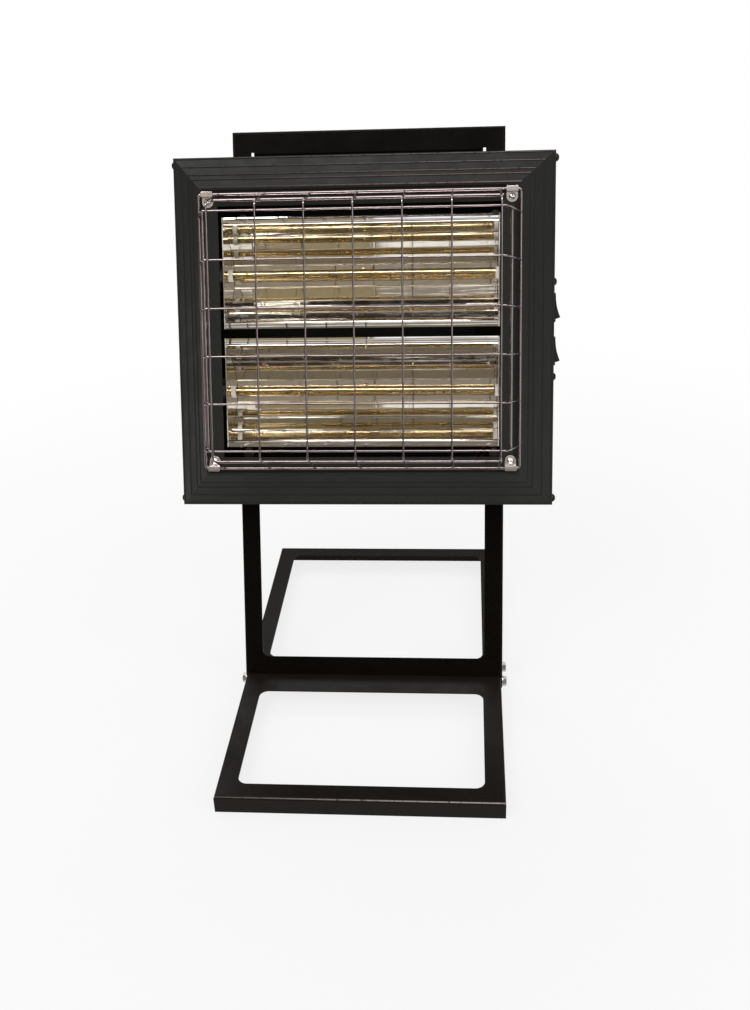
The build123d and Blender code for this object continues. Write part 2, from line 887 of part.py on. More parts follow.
def lamp_tube(centre):
    """Quartz tube along the width, open inside for its filament."""
    with BuildPart() as tube:
        with BuildSketch(side_plane(head, -tube_half)):
            with Locations((centre, lamp_depth)):
                Circle(tube_diameter / 2)
                Circle(tube_diameter / 2 - tube_wall, mode=Mode.SUBTRACT)
        extrude(amount=2 * tube_half)
    return tube.part


def filament(centre):
    """Coiled wire as a rod, carried in the tube by thin discs."""
    discs = [(place - (support_count - 1) / 2) * support_pitch for place in range(support_count)]
    discs += [support_thickness / 2 - tube_half, tube_half - support_thickness / 2]
    with BuildPart() as coil:
        with BuildSketch(side_plane(head, -tube_half)):
            with Locations((centre, lamp_depth)):
                Circle(filament_diameter / 2)
        extrude(amount=2 * tube_half)
        for disc in discs:
            with BuildSketch(side_plane(head, disc - support_thickness / 2)):
                with Locations((centre, lamp_depth)):
                    Circle(support_disc / 2)
            extrude(amount=support_thickness)
    return coil.part


def lamp_caps(centre):
    """Ceramic cap on each end of a tube, with a socket that the tube fills."""
    with BuildPart() as caps:
        with BuildSketch(side_plane(head, cap_start)):
            with Locations((centre, lamp_depth)):
                Circle(cap_diameter / 2)
        extrude(amount=cap_length)
        with BuildSketch(side_plane(head, cap_start)):
            with Locations((centre, lamp_depth)):
                Circle(tube_diameter / 2 + thread_clearance)
        extrude(amount=cap_socket, mode=Mode.SUBTRACT)
        mirror(about=side_plane(head, 0))
    return caps.part


with BuildPart() as upper_reflector:
    add(reflector(upper_trough))
upper_reflector.part.label = "upper_reflector"
export_step(upper_reflector.part, "parts/upper_reflector.step")

with BuildPart() as lower_reflector:
    add(reflector(lower_trough))
lower_reflector.part.label = "lower_reflector"
export_step(lower_reflector.part, "parts/lower_reflector.step")

with BuildPart() as upper_reflector_cheeks:
    add(reflector_cheeks(upper_trough))
upper_reflector_cheeks.part.label = "upper_reflector_cheeks"
export_step(upper_reflector_cheeks.part, "parts/upper_reflector_cheeks.step")

with BuildPart() as lower_reflector_cheeks:
    add(reflector_cheeks(lower_trough))
lower_reflector_cheeks.part.label = "lower_reflector_cheeks"
export_step(lower_reflector_cheeks.part, "parts/lower_reflector_cheeks.step")

with BuildPart() as upper_lamp_tube:
    add(lamp_tube(upper_trough))
upper_lamp_tube.part.label = "upper_lamp_tube"
export_step(upper_lamp_tube.part, "parts/upper_lamp_tube.step")

with BuildPart() as lower_lamp_tube:
    add(lamp_tube(lower_trough))
lower_lamp_tube.part.label = "lower_lamp_tube"
export_step(lower_lamp_tube.part, "parts/lower_lamp_tube.step")

with BuildPart() as upper_filament:
    add(filament(upper_trough))
upper_filament.part.label = "upper_filament"
export_step(upper_filament.part, "parts/upper_filament.step")

with BuildPart() as lower_filament:
    add(filament(lower_trough))
lower_filament.part.label = "lower_filament"
export_step(lower_filament.part, "parts/lower_filament.step")

with BuildPart() as upper_lamp_caps:
    add(lamp_caps(upper_trough))
upper_lamp_caps.part.label = "upper_lamp_caps"
export_step(upper_lamp_caps.part, "parts/upper_lamp_caps.step")

with BuildPart() as lower_lamp_caps:
    add(lamp_caps(lower_trough))
lower_lamp_caps.part.label = "lower_lamp_caps"
export_step(lower_lamp_caps.part, "parts/lower_lamp_caps.step")

# brackets that hold the caps from outside the cheeks
with BuildPart() as lamp_brackets:
    for centre in trough_centres:
        with BuildSketch(side_plane(head, lamp_bracket_place)):
            bracket_height = lamp_depth + lamp_bracket_top - panel_thickness
            with Locations((centre, panel_thickness + bracket_height / 2)):
                Rectangle(lamp_bracket_width, bracket_height)
            with Locations((centre, lamp_depth)):
                Circle(cap_diameter / 2 + thread_clearance, mode=Mode.SUBTRACT)
        extrude(amount=fitting_sheet)
        with BuildSketch(head.offset(panel_thickness)):
            with Locations((lamp_rivet, centre)):
                Rectangle(foot_length, lamp_bracket_width)
            with Locations(*panel_rivet_places):
                Circle(rivet_diameter / 2 + thread_clearance, mode=Mode.SUBTRACT)
        extrude(amount=fitting_sheet)
    mirror(about=side_plane(head, 0))
lamp_brackets.part.label = "lamp_brackets"
export_step(lamp_brackets.part, "parts/lamp_brackets.step")

with BuildPart() as heat_shield:
    with BuildSketch(side_plane(head, -shield_width / 2)):
        add(
            folded(
                [
                    (shield_half + foot_length, panel_thickness),
                    (shield_half, panel_thickness),
                    (shield_half, shield_front - fitting_sheet),
                    (-shield_half, shield_front - fitting_sheet),
                    (-shield_half, panel_thickness),
                    (-shield_half - foot_length, panel_thickness),
                ],
                fitting_sheet,
                fitting_bend,
            )
        )
    extrude(amount=shield_width)
    with BuildSketch(head):
        with Locations(*panel_rivet_places, *shield_rivet_places):
            Circle(rivet_diameter / 2 + thread_clearance)
    extrude(amount=shield_front, mode=Mode.SUBTRACT)
heat_shield.part.label = "heat_shield"
export_step(heat_shield.part, "parts/heat_shield.step")

with BuildPart() as reflector_brackets:
    for centre in trough_centres:
        for place in (-bracket_reach, bracket_reach):
            with BuildSketch(side_plane(head, place - bracket_width / 2)):
                with Locations((centre, 0)):
                    add(
                        folded(
                            [
                                (bracket_half + foot_length, shield_front),
                                (bracket_half, shield_front),
                                (bracket_half, trough_outside - fitting_sheet),
                                (-bracket_half, trough_outside - fitting_sheet),
                                (-bracket_half, shield_front),
                                (-bracket_half - foot_length, shield_front),
                            ],
                            fitting_sheet,
                            fitting_bend,
                        )
                    )
            extrude(amount=bracket_width)
    with BuildSketch(head.offset(shield_front)):
        with Locations(*shield_rivet_places):
            Circle(rivet_diameter / 2 + thread_clearance)
    extrude(amount=fitting_sheet, mode=Mode.SUBTRACT)
reflector_brackets.part.label = "reflector_brackets"
export_step(reflector_brackets.part, "parts/reflector_brackets.step")

with BuildPart() as bracket_rivets:
    for places, seat in (
        (panel_rivet_places, panel_thickness + fitting_sheet),
        (shield_rivet_places, shield_front + fitting_sheet),
    ):
        with BuildSketch(head.offset(seat)):
            with Locations(*places):
                Circle(rivet_head / 2)
        extrude(amount=rivet_head_height, taper=30)
    with BuildSketch(head):
        with Locations(*panel_rivet_places):
            Circle(rivet_diameter / 2)
    extrude(amount=panel_thickness + fitting_sheet)
    with BuildSketch(head.offset(shield_front - fitting_sheet)):
        with Locations(*shield_rivet_places):
            Circle(rivet_diameter / 2)
    extrude(amount=2 * fitting_sheet)
bracket_rivets.part.label = "bracket_rivets"
export_step(bracket_rivets.part, "parts/bracket_rivets.step")

# ---------------------------------------------------------------- switches

# open tray against the wall, with a tab for each of its screws
tray_half = box_height / 2
with BuildPart() as switch_box:
    tray_plane = right_wall.offset(-wall)
    with BuildSketch(tray_plane):
        Rectangle(box_height, box_width)
    extrude(amount=-box_reach)
    with BuildSketch(tray_plane):
        Rectangle(box_height - 2 * box_sheet, box_width - 2 * box_sheet)
    extrude(amount=box_sheet - box_reach, mode=Mode.SUBTRACT)
    with BuildSketch(tray_plane):
        with Locations((tray_half + box_tab / 2, 0), (-tray_half - box_tab / 2, 0)):
            Rectangle(box_tab, box_tab)
        with Locations(*box_screw_places):
            Circle(wall_screw_diameter / 2 + screw_clearance, mode=Mode.SUBTRACT)
    extrude(amount=-box_sheet)
    with BuildSketch(cross_plane(head, switch_centre + tray_half)):
        with Locations((load_lead_place, switch_depth)):
            Circle(lead_hole / 2)
    extrude(amount=box_height, mode=Mode.SUBTRACT)
    with BuildSketch(cross_plane(head, switch_centre)):
        with Locations((supply_lead_place, supply_lead_depth)):
            Circle(lead_hole / 2)
    extrude(amount=tray_half, mode=Mode.SUBTRACT)
switch_box.part.label = "switch_box"
export_step(switch_box.part, "parts/switch_box.step")

with BuildPart() as switch_box_screws:
    add(dome_screws(right_wall, box_screw_places, box_screw_length))
switch_box_screws.part.label = "switch_box_screws"
export_step(switch_box_screws.part, "parts/switch_box_screws.step")


def pivot_plane(rise):
    """Plane across a rocker's hinge pin: x up the wall, y out of it."""
    origin = right_wall.from_local_coords((rise, 0, pivot_height))
    return Plane(origin=origin, x_dir=right_wall.x_dir, z_dir=-right_wall.y_dir)


# the cavity clears the rocker's root over its whole throw
root_sweep = rocker_radius * sin(asin(rocker_root / rocker_radius) + radians(rocker_throw / 2))
cavity_depth = bezel_thickness - pivot_height + root_sweep + rocker_clearance
pin_reach = rocker_width / 2 + pin_length


def switch_body(rise):
    """Bezel and housing of a switch, open for its rocker."""
    with BuildPart() as body:
        with BuildSketch(right_wall):
            with Locations((rise, 0)):
                RectangleRounded(bezel_length, bezel_width, bezel_radius)
        extrude(amount=bezel_thickness)
        chamfer(body.faces().sort_by(Axis.X)[-1].edges(), bezel_thickness / 4)
        with BuildSketch(right_wall):
            with Locations((rise, 0)):
                Rectangle(housing_length, housing_width)
        extrude(amount=-housing_depth)
        with BuildSketch(right_wall.offset(bezel_thickness)):
            with Locations((rise, 0)):
                Rectangle(
                    2 * (rocker_radius + rocker_clearance), rocker_width + 2 * rocker_clearance
                )
        extrude(amount=-cavity_depth, mode=Mode.SUBTRACT)
        with BuildSketch(pivot_plane(rise)):
            Circle(pin_radius + pin_clearance)
        extrude(amount=pin_reach + rocker_clearance, both=True, mode=Mode.SUBTRACT)
    return body.part


def rocker(rise):
    """Dished rocker with round ends about its pins, its lower half out."""
    face_half = rocker_radius * cos(radians(rocker_face_angle))
    face_height = rocker_radius * sin(radians(rocker_face_angle))
    root_half = sqrt(rocker_radius**2 - rocker_root**2)
    pivot = pivot_plane(rise)
    along_face = pivot.x_dir.rotate(Axis(pivot.origin, pivot.z_dir), -rocker_throw / 2)
    turned = Plane(origin=pivot.origin, x_dir=along_face, z_dir=pivot.z_dir)
    with BuildPart() as button:
        with BuildSketch(turned):
            with BuildLine():
                ThreePointArc(
                    (-face_half, face_height), (0, face_height - rocker_dish), (face_half, face_height)
                )
                ThreePointArc((face_half, face_height), (rocker_radius, 0), (root_half, -rocker_root))
                Line((root_half, -rocker_root), (-root_half, -rocker_root))
                ThreePointArc((-root_half, -rocker_root), (-rocker_radius, 0), (-face_half, face_height))
            make_face()
        extrude(amount=rocker_width / 2, both=True)
        with BuildSketch(turned):
            Circle(pin_radius)
        extrude(amount=pin_reach, both=True)
    return button.part


with BuildPart() as upper_switch_body:
    add(switch_body(upper_switch))
upper_switch_body.part.label = "upper_switch_body"
export_step(upper_switch_body.part, "parts/upper_switch_body.step")

with BuildPart() as lower_switch_body:
    add(switch_body(lower_switch))
lower_switch_body.part.label = "lower_switch_body"
export_step(lower_switch_body.part, "parts/lower_switch_body.step")

with BuildPart() as upper_rocker:
    add(rocker(upper_switch))
upper_rocker.part.label = "upper_rocker"
export_step(upper_rocker.part, "parts/upper_rocker.step")

with BuildPart() as lower_rocker:
    add(rocker(lower_switch))
lower_rocker.part.label = "lower_rocker"
export_step(lower_rocker.part, "parts/lower_rocker.step")

with BuildPart() as switch_terminals:
    with BuildSketch(right_wall.offset(-housing_depth)):
        for rise in (upper_switch, lower_switch):
            with Locations((rise - tab_pitch, 0), (rise, 0), (rise + tab_pitch, 0)):
                Rectangle(tab_thickness, tab_width)
    extrude(amount=-tab_length)
switch_terminals.part.label = "switch_terminals"
export_step(switch_terminals.part, "parts/switch_terminals.step")

# ---------------------------------------------------------------- wiring and inlet

with BuildPart() as terminal_block:
    with BuildSketch(head.offset(panel_thickness)):
        with Locations(block_place):
            Rectangle(block_width, block_height)
    extrude(amount=block_depth)
    with BuildSketch(head.offset(panel_thickness + block_depth)):
        with Locations(block_place):
            with GridLocations(0, block_height / 3, 1, 2):
                Rectangle(block_width, block_groove)
    extrude(amount=-block_depth / 3, mode=Mode.SUBTRACT)
    with BuildSketch(head.offset(panel_thickness + block_depth)):
        with Locations(block_place):
            with GridLocations(block_width / 2, block_height / 3, 2, 3):
                Circle(block_screw_hole / 2)
    extrude(amount=-block_depth / 3, mode=Mode.SUBTRACT)
terminal_block.part.label = "terminal_block"
export_step(terminal_block.part, "parts/terminal_block.step")

with BuildPart() as earth_stud:
    with BuildSketch(head):
        with Locations(stud_place):
            Circle(stud_diameter / 2)
    extrude(amount=stud_length)
    with BuildSketch(head.offset(panel_thickness)):
        with Locations(stud_place):
            RegularPolygon(hexagon_radius(stud_nut_flats), 6)
    extrude(amount=stud_nut_height)
earth_stud.part.label = "earth_stud"
export_step(earth_stud.part, "parts/earth_stud.step")

# each lamp's right cap goes to its switch, the left caps and the supply to the terminal block
block_left = block_place[0] - block_width / 2
block_top = block_place[1] + block_height / 2
load_tab = upper_switch + tab_pitch + tab_thickness / 2
lead_paths = [
    [
        (cap_end, centre, lamp_depth),
        (cap_end + load_lead_reach, centre, lamp_depth),
        (load_lead_place, switch_centre + side * (tray_half + load_lead_margin), switch_depth),
        (load_lead_place, switch_centre + side * load_tab, switch_depth),
    ]
    for side, centre in ((1, upper_trough), (-1, lower_trough))
]
lead_paths.append(
    [
        (supply_lead_place, switch_centre + lower_switch - housing_length / 2, supply_lead_depth),
        (supply_lead_place, block_top + 2 * block_height / 3, supply_lead_depth),
        (block_place[0], block_top + block_height / 2, block_lead_depth),
        (block_place[0], block_top, block_lead_depth),
    ]
)
for centre, step in ((upper_trough, 0), (lower_trough, return_lead_step)):
    place = return_lead_place - step / 2
    height = return_lead_height - step
    entry = block_place[1] + step
    depth = block_lead_depth + 2 * return_lead_step - step / 2
    lead_paths.append(
        [
            (-cap_end, centre, lamp_depth),
            (-place, centre, lamp_depth),
            (-place, -height, depth),
            (block_left - 2 * block_width - step / 2, -height, depth),
            (block_left - block_width / 2, entry, block_lead_depth),
            (block_left, entry, block_lead_depth),
        ]
    )

with BuildPart() as lamp_leads:
    for points in lead_paths:
        with BuildLine() as path:
            FilletPolyline(*[head.from_local_coords(point) for point in points], radius=lead_radius)
        with BuildSketch(Plane(origin=path.line @ 0, z_dir=path.line % 0)):
            Circle(lead_diameter / 2)
        sweep()
lamp_leads.part.label = "lamp_leads"
export_step(lamp_leads.part, "parts/lamp_leads.step")

# the supply cord's gland points back through the upright's window, beside its right leg
with BuildPart() as cable_gland:
    with BuildSketch(head):
        with Locations(gland_place):
            RegularPolygon(hexagon_radius(gland_flats), 6)
    extrude(amount=-gland_collar)
    with BuildSketch(head.offset(-gland_collar)):
        with Locations(gland_place):
            Circle(gland_cap_diameter / 2)
    extrude(amount=-gland_cap_length)
    cap_end_face = cable_gland.faces().sort_by(head_forward)[0]
    fillet(cap_end_face.edges(), gland_cap_length / 4)
    with BuildSketch(head):
        with Locations(gland_place):
            Circle(gland_thread / 2)
    extrude(amount=gland_inner_length)
    with BuildSketch(head.offset(gland_inner_length)):
        with Locations(gland_place):
            Circle(gland_bore / 2)
    extrude(amount=-(gland_inner_length + gland_collar + gland_cap_length), mode=Mode.SUBTRACT)
cable_gland.part.label = "cable_gland"
export_step(cable_gland.part, "parts/cable_gland.step")

with BuildPart() as gland_locknut:
    with BuildSketch(head.offset(panel_thickness)):
        with Locations(gland_place):
            RegularPolygon(hexagon_radius(gland_flats), 6)
            Circle(gland_thread / 2 + thread_clearance, mode=Mode.SUBTRACT)
    extrude(amount=locknut_height)
gland_locknut.part.label = "gland_locknut"
export_step(gland_locknut.part, "parts/gland_locknut.step")
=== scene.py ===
import json
from math import cos, degrees, pi, radians, sin, sqrt

import bmesh
import bpy
from bpy.props import FloatProperty, FloatVectorProperty, IntProperty, PointerProperty
from mathutils import Matrix, Vector


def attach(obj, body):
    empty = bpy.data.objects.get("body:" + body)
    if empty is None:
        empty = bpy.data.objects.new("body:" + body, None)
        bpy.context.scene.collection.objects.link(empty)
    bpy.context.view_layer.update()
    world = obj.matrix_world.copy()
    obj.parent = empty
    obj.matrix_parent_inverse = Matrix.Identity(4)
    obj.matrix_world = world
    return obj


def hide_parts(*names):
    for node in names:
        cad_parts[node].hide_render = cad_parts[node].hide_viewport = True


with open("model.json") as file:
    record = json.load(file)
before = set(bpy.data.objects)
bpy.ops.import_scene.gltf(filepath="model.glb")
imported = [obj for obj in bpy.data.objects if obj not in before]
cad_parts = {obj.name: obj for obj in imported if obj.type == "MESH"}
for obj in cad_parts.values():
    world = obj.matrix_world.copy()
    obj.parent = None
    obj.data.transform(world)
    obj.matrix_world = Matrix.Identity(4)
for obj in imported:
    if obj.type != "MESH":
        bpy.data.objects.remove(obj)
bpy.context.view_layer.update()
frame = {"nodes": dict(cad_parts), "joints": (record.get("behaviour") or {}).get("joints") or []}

bl_info = {
    "name": "Infrared patio heater",
    "version": (1, 0, 0),
    "blender": (4, 5, 0),
    "location": "View3D > Sidebar > Heater",
    "description": "Finishes, guard, lamps, fasteners and studio of an infrared heater",
    "category": "Object",
}

BODY = "heater"
MM = 0.001

# The head's own frame: x to the right, y up along it, z forward out of it, measured in mm
# from the point of the upright's face behind its middle. The rockers' pins run along z.
HEAD_ORIGIN = Vector((-0.0025, 0.100197, 0.387831))
backward = Vector(frame["joints"][0]["axis"]).normalized()
head_axes = Matrix(((1, 0, 0), (0, -backward.z, backward.y), -backward)).transposed()
HEAD = Matrix.Translation(HEAD_ORIGIN) @ head_axes.to_4x4() @ Matrix.Scale(MM, 4)
WORLD_MM = Matrix.Scale(MM, 4)
REARWARD = Matrix.Rotation(pi, 4, "Y")
SIDES = (-1, 1)
CORNERS = ((-1, -1), (1, -1), (1, 1), (-1, 1))

# Rounded edges: gap that is merged in metres, angles between faces in degrees
MERGE_GAP = 1e-6
FLAT_ANGLE = 0.5
CASING_ANGLE, SHEET_ANGLE, MOULDED_ANGLE, ANY_ANGLE = 25.0, 50.0, 40.0, 180.0
BEND_ANGLES, BEND_SEGMENTS = (5.0, 80.0), 4

# Guard wires, in mm on the head
WIRE = 2.0
RIM_WIRE = 3.0
WIRE_BEND = 6.0
BEND_STEPS = 8
RIM_BEND = 3.5
COLUMNS, COLUMN_PITCH = 7, 48.2
ROWS, ROW_PITCH = 6, 47.4
RIM_WIDTH, RIM_HEIGHT, RIM_DEPTH = 331.4, 283.8, 93.7
FRONT_WIDTH, FRONT_HEIGHT = 302.0, 254.0
COLUMN_DEPTH = 154.2
ROW_DEPTH = 152.15
ROD_DEPTH = 123.95
ROD_HALF_WIDTH, ROD_END = 147.1, 131.90
ROD_HALF_HEIGHT, ROD_SIDE = 121.0, 155.53
WELD_FLATNESS = 0.7

# Lamps, in mm on the head
TROUGHS = {"upper": 62.5, "lower": -62.5}
LAMP_DEPTH = 42.0
TUBE_HALF = 147.5
TUBE = 10.5
SUPPORTS, SUPPORT_PITCH = 4, 57.3
TUBE_WALL = 1.0
DISC_PLAY, DISC_THICKNESS = 0.3, 2.2
COIL_MARGIN = 12.0
TAIL, TAIL_SIDES = 0.5, 12
TIP_SINK, TIP_SIDES = 0.4, 16
TIP_PROFILE = [(0.0, 0.0), (1.7, 0.0), (1.6, 0.9), (1.1, 2.0), (0.6, 2.9), (0.3, 3.3), (0.0, 3.4)]

# Screws, in mm: diameter and height of the heads, radius and length of the shanks, places on
# the head. A recess is a share of the setting's width; its slots are shares of that and of
# the head's height.
DOME = (9.0, 4.0)
PAN = (7.0, 2.5)
CORNER_SHANK, BOX_SHANK, PAN_SHANK = (2.0, 18.0), (2.0, 8.0), (1.75, 8.0)
PAN_RECESS, SLOT_WIDTH, SLOT_DEPTH = 0.75, 0.26, 1.1
HEAD_HALF_WIDTH = 204.0
CORNER_SCREW, CORNER_DEPTH = 181.0, 32.6
SWITCH_MIDDLE, SWITCH_DEPTH, BOX_SCREW = 1.9, 22.0, 50.95
CLIP_SCREW, CLIP_FACE = (156.7, 134.9), 90.5
PANEL_SCREWS = ((193.7, 110.0), (90.0, 177.2))

# Hexagon bolts, in mm: across flats and height, radius and length of the shank, seats and
# places. The chamfer is a cone: its top's share of the flats, and its spread over the height.
HEX = (10.0, 4.0)
HEX_SHANK = (3.0, 12.0)
CHAMFER_TOP, CHAMFER_SPREAD = 0.47, 1.8
STAND_SEAT = 151.2
STAND_BOLTS = ((-34.0, 9.0), (-7.0, 9.0))
MOUNT_SEAT = -1.5
MOUNT_BOLTS = ((-137.0, -134.0), (-137.0, 126.0), (142.0, -134.0), (142.0, 126.0))

# Cord gland, in mm on the head
GLAND_PLACE = (109.5, -158.0)
GLAND_CAP_RADIUS, GLAND_CAP_MIDDLE = 9.0, 10.5
GLAND_RIB, GLAND_RIB_LENGTH = 1.5, 9.0

# Crests that get a painted highlight, each y and z in mm: the top member's on the head, the base's
# in the heater's frame. Beads stand at shares of the slope, and rise above it.
SLOPE_START, SLOPE_END = (187.5, 42.0), (149.5, 92.0)
BEADS, BEAD_RISE = (0.05, 0.33, 0.60, 0.75), (0.56, 0.42)
TOP_CRESTS = [
    tuple(low + place * (high - low) + rise
          for low, high, rise in zip(SLOPE_START, SLOPE_END, BEAD_RISE))
    for place in BEADS
] + [SLOPE_END]
BASE_CRESTS = [(-245.9, 19.3)]
# Colours of the painted highlights on the crests
TOP_PAINTED_HIGHLIGHT, BASE_PAINTED_HIGHLIGHT = (0.24, 0.165, 0.16), (0.42, 0.35, 0.34)
# Painted shade: the top member's coat is this share of the head's colour, darker against the light
# its upward face gets
TOP_PAINTED_SHADE = 0.75
# Painted highlight lines: how far each fades out, and the span along x from faint at the left to
# full at the right
CREST_EDGE = (0.4, 0.85)
CREST_ENDS, FAINT_END = (-190.0, 150.0), 0.15

# Patterns: scales per metre, depths of relief in metres
RUN_SCALE = (300.0, 60.0, 60.0)
CLOUD_SCALE, SPECK_SCALE, CHOICE_SCALE, TOUCH_SCALE, PEEL_SCALE = 9.0, 1400.0, 700.0, 38.0, 1050.0
SMEAR_SCALE, LINE_SCALE, BLOOM_SCALE, TONE_SCALE, CRYSTAL_SCALE = 60.0, 1600.0, 90.0, 55.0, 130.0
PEEL_DEPTH, LINE_DEPTH, GRAIN_DEPTH, ROLL_DEPTH = 0.00025, 0.0001, 0.0002, 0.0006
# Reflectors: lengths in mm on the head, scales per mm
TINT_REACH, TINT_STRENGTH, TINT_BLOTCH = (18.0, 44.0), 0.16, 16.0
DUST = (0.36, 0.33, 0.28)
BLOTCH_SCALE, DUST_SCALE, RUB_SCALE, ROLL_SCALE = 0.03, 0.05, 0.08, (0.012, 0.16, 0.16)
CREASE_START, CREASE_SPACING, CREASE_WIDTH = 75.4, 41.5, 1.4

# Plated and polished metal: colour, roughness, smears, drawn lines
PLATED = {
    "zinc plate": ((0.50, 0.48, 0.46), 0.26, 0.16, 0.1),
    "black plate": ((0.035, 0.034, 0.033), 0.34, 0.12, 0.0),
    "nickel plate": ((0.82, 0.78, 0.76), 0.14, 0.12, 0.0),
    "aluminium rivets": ((0.80, 0.80, 0.80), 0.3, 0.1, 0.0),
    "brass": ((0.78, 0.58, 0.25), 0.28, 0.12, 0.0),
}
# Other surfaces: colour, metallic, roughness, grain's scale and strength, uneven colour
PLAIN = {
    "tungsten": ((0.24, 0.22, 0.21), 1.0, 0.42, 1500.0, 0.2, 0.12),
    "support metal": ((0.045, 0.040, 0.036), 0.0, 0.45, 1500.0, 0.2, 0.12),
    "steatite": ((0.84, 0.82, 0.77), 0.0, 0.62, 900.0, 0.15, 0.05),
    "stove enamel": ((0.014, 0.014, 0.014), 0.0, 0.7, 600.0, 0.25, 0.12),
    "gloss nylon": ((0.011, 0.011, 0.012), 0.0, 0.26, 800.0, 0.08, 0.12),
    "natural nylon": ((0.72, 0.70, 0.63), 0.0, 0.5, 700.0, 0.12, 0.06),
    "silicone": ((0.32, 0.035, 0.02), 0.0, 0.55, 900.0, 0.1, 0.12),
    "matt nylon": ((0.014, 0.014, 0.014), 0.0, 0.55, 650.0, 0.25, 0.12),
}
NODE_FINISHES = {
    "head coat": ["casing_bottom", "casing_left", "casing_right", "rear_panel"],
    "top member coat": ["casing_top"],
    "stand coat": ["upright_frame"],
    "base coat": ["base_frame"],
    "zinc plate": ["stand_washers", "stand_bolts", "stand_nuts", "head_mount_bolts",
                   "head_mount_nuts", "earth_stud"],
    "black plate": ["casing_corner_screws", "rear_panel_screws", "switch_box_screws"],
    "chrome": ["guard_row_wires", "guard_column_wires", "guard_rim", "guard_rods"],
    "nickel plate": ["guard_clips", "guard_clip_screws"],
    "reflector sheet": ["upper_reflector", "lower_reflector", "upper_reflector_cheeks",
                        "lower_reflector_cheeks"],
    "gold quartz": ["upper_lamp_tube", "lower_lamp_tube"],
    "tungsten": ["upper_filament", "lower_filament"],
    "steatite": ["upper_lamp_caps", "lower_lamp_caps"],
    "galvanised sheet": ["lamp_brackets", "reflector_brackets", "switch_box"],
    "stove enamel": ["heat_shield"],
    "aluminium rivets": ["bracket_rivets"],
    "gloss nylon": ["upper_switch_body", "lower_switch_body", "upper_rocker", "lower_rocker"],
    "brass": ["switch_terminals"],
    "natural nylon": ["terminal_block"],
    "silicone": ["lamp_leads"],
    "matt nylon": ["cable_gland", "gland_locknut"],
}

# Studio: metres, degrees, watts; the camera's focal length in the photograph's pixels
IMAGE_HEIGHT = 1010
CAMERA_FOCAL = 1135.8
CAMERA_PLACE = (0.10812, -1.10156, 0.83023)
CAMERA_TURNS = (5.2379, 28.7312, -2.4430)
CAMERA_RANGE = (0.05, 50.0)
AIM = Vector((0.0, 0.05, 0.33))
WHITE = (1.0, 1.0, 1.0)
AMBIENT = 0.60
FLOOR_REACH = 12.0
FLOOR_DROP = -0.0003
FLOOR_FADE, FLOOR_SHARE = (0.35, 1.3), 0.80
LIGHTS = (
    ("key softbox", (-1.3, -1.7, 2.4), (1.2, 1.2), 15.0, (1.0, 0.98, 0.95)),
    ("fill softbox", (2.0, -1.3, 1.1), (1.2, 1.6), 12.0, WHITE),
    ("rear strip", (-0.4, 1.8, 1.9), (1.8, 0.6), 14.0, WHITE),
)
# Flags that only glossy and refracted rays see: corner, two edges and colour
ACROSS = (4.8, 0.0, 0.0)
FLAGS = (
    ("floor flag", (-1.6, -2.1, 0.002), (3.2, 0.0, 0.0), (0.0, 1.78, 0.0), (0.035, 0.030, 0.024)),
    ("skirting flag", (-2.4, -2.1, 0.0), ACROSS, (0.0, 0.0, 0.06), (0.020, 0.017, 0.013)),
    ("wall flag", (-2.4, -2.1, 0.06), ACROSS, (0.0, 0.0, 0.80), (0.17, 0.145, 0.105)),
    ("middle flag", (-2.4, -2.1, 0.86), ACROSS, (0.0, 0.0, 0.64), (0.25, 0.22, 0.18)),
    ("low slat", (-2.4, -2.09, 0.89), ACROSS, (0.0, 0.0, 0.10), (0.75, 0.72, 0.70)),
    ("middle slat", (-2.4, -2.09, 1.21), ACROSS, (0.0, 0.0, 0.11), (0.75, 0.72, 0.70)),
    ("high slat", (-2.4, -2.09, 1.53), ACROSS, (0.0, 0.0, 0.11), (0.70, 0.67, 0.65)),
    ("right slat", (-0.16, -2.1, 1.50), (2.56, 0.0, 0.0), (0.0, 0.0, 0.30), (0.28, 0.25, 0.22)),
    ("overhead strip", (-2.4, -1.3, 3.0), ACROSS, (0.0, 0.5, 0.0), (18.0, 16.6, 16.6)),
    ("side flag", (-2.4, -2.1, 1.50), (2.24, 0.0, 0.0), (0.0, 0.0, 0.55), (0.30, 0.25, 0.15)),
    ("ceiling flag", (-2.4, -2.1, 2.05), ACROSS, (0.0, 0.0, 2.55), (0.022, 0.018, 0.014)),
    ("left flag", (-2.4, -2.1, 0.0), (0.0, 4.2, 0.0), (0.0, 0.0, 3.0), (0.06, 0.05, 0.048)),
    ("right flag", (2.4, -2.1, 0.0), (0.0, 4.2, 0.0), (0.0, 0.0, 3.0), (0.06, 0.05, 0.048)),
    ("rear flag", (-2.4, 2.1, 0.0), ACROSS, (0.0, 0.0, 2.2), (0.06, 0.05, 0.048)),
)


# ---------- settings


def a_length(name, description, default):
    """A length in metres."""
    return FloatProperty(name=name, description=description, default=default, unit="LENGTH")


def a_count(name, description, default, low):
    """A number of things."""
    return IntProperty(name=name, description=description, default=default, min=low)


def a_colour(name, description, default):
    """The colour of a finish."""
    return FloatVectorProperty(
        name=name, description=description, subtype="COLOR", size=3, default=default
    )


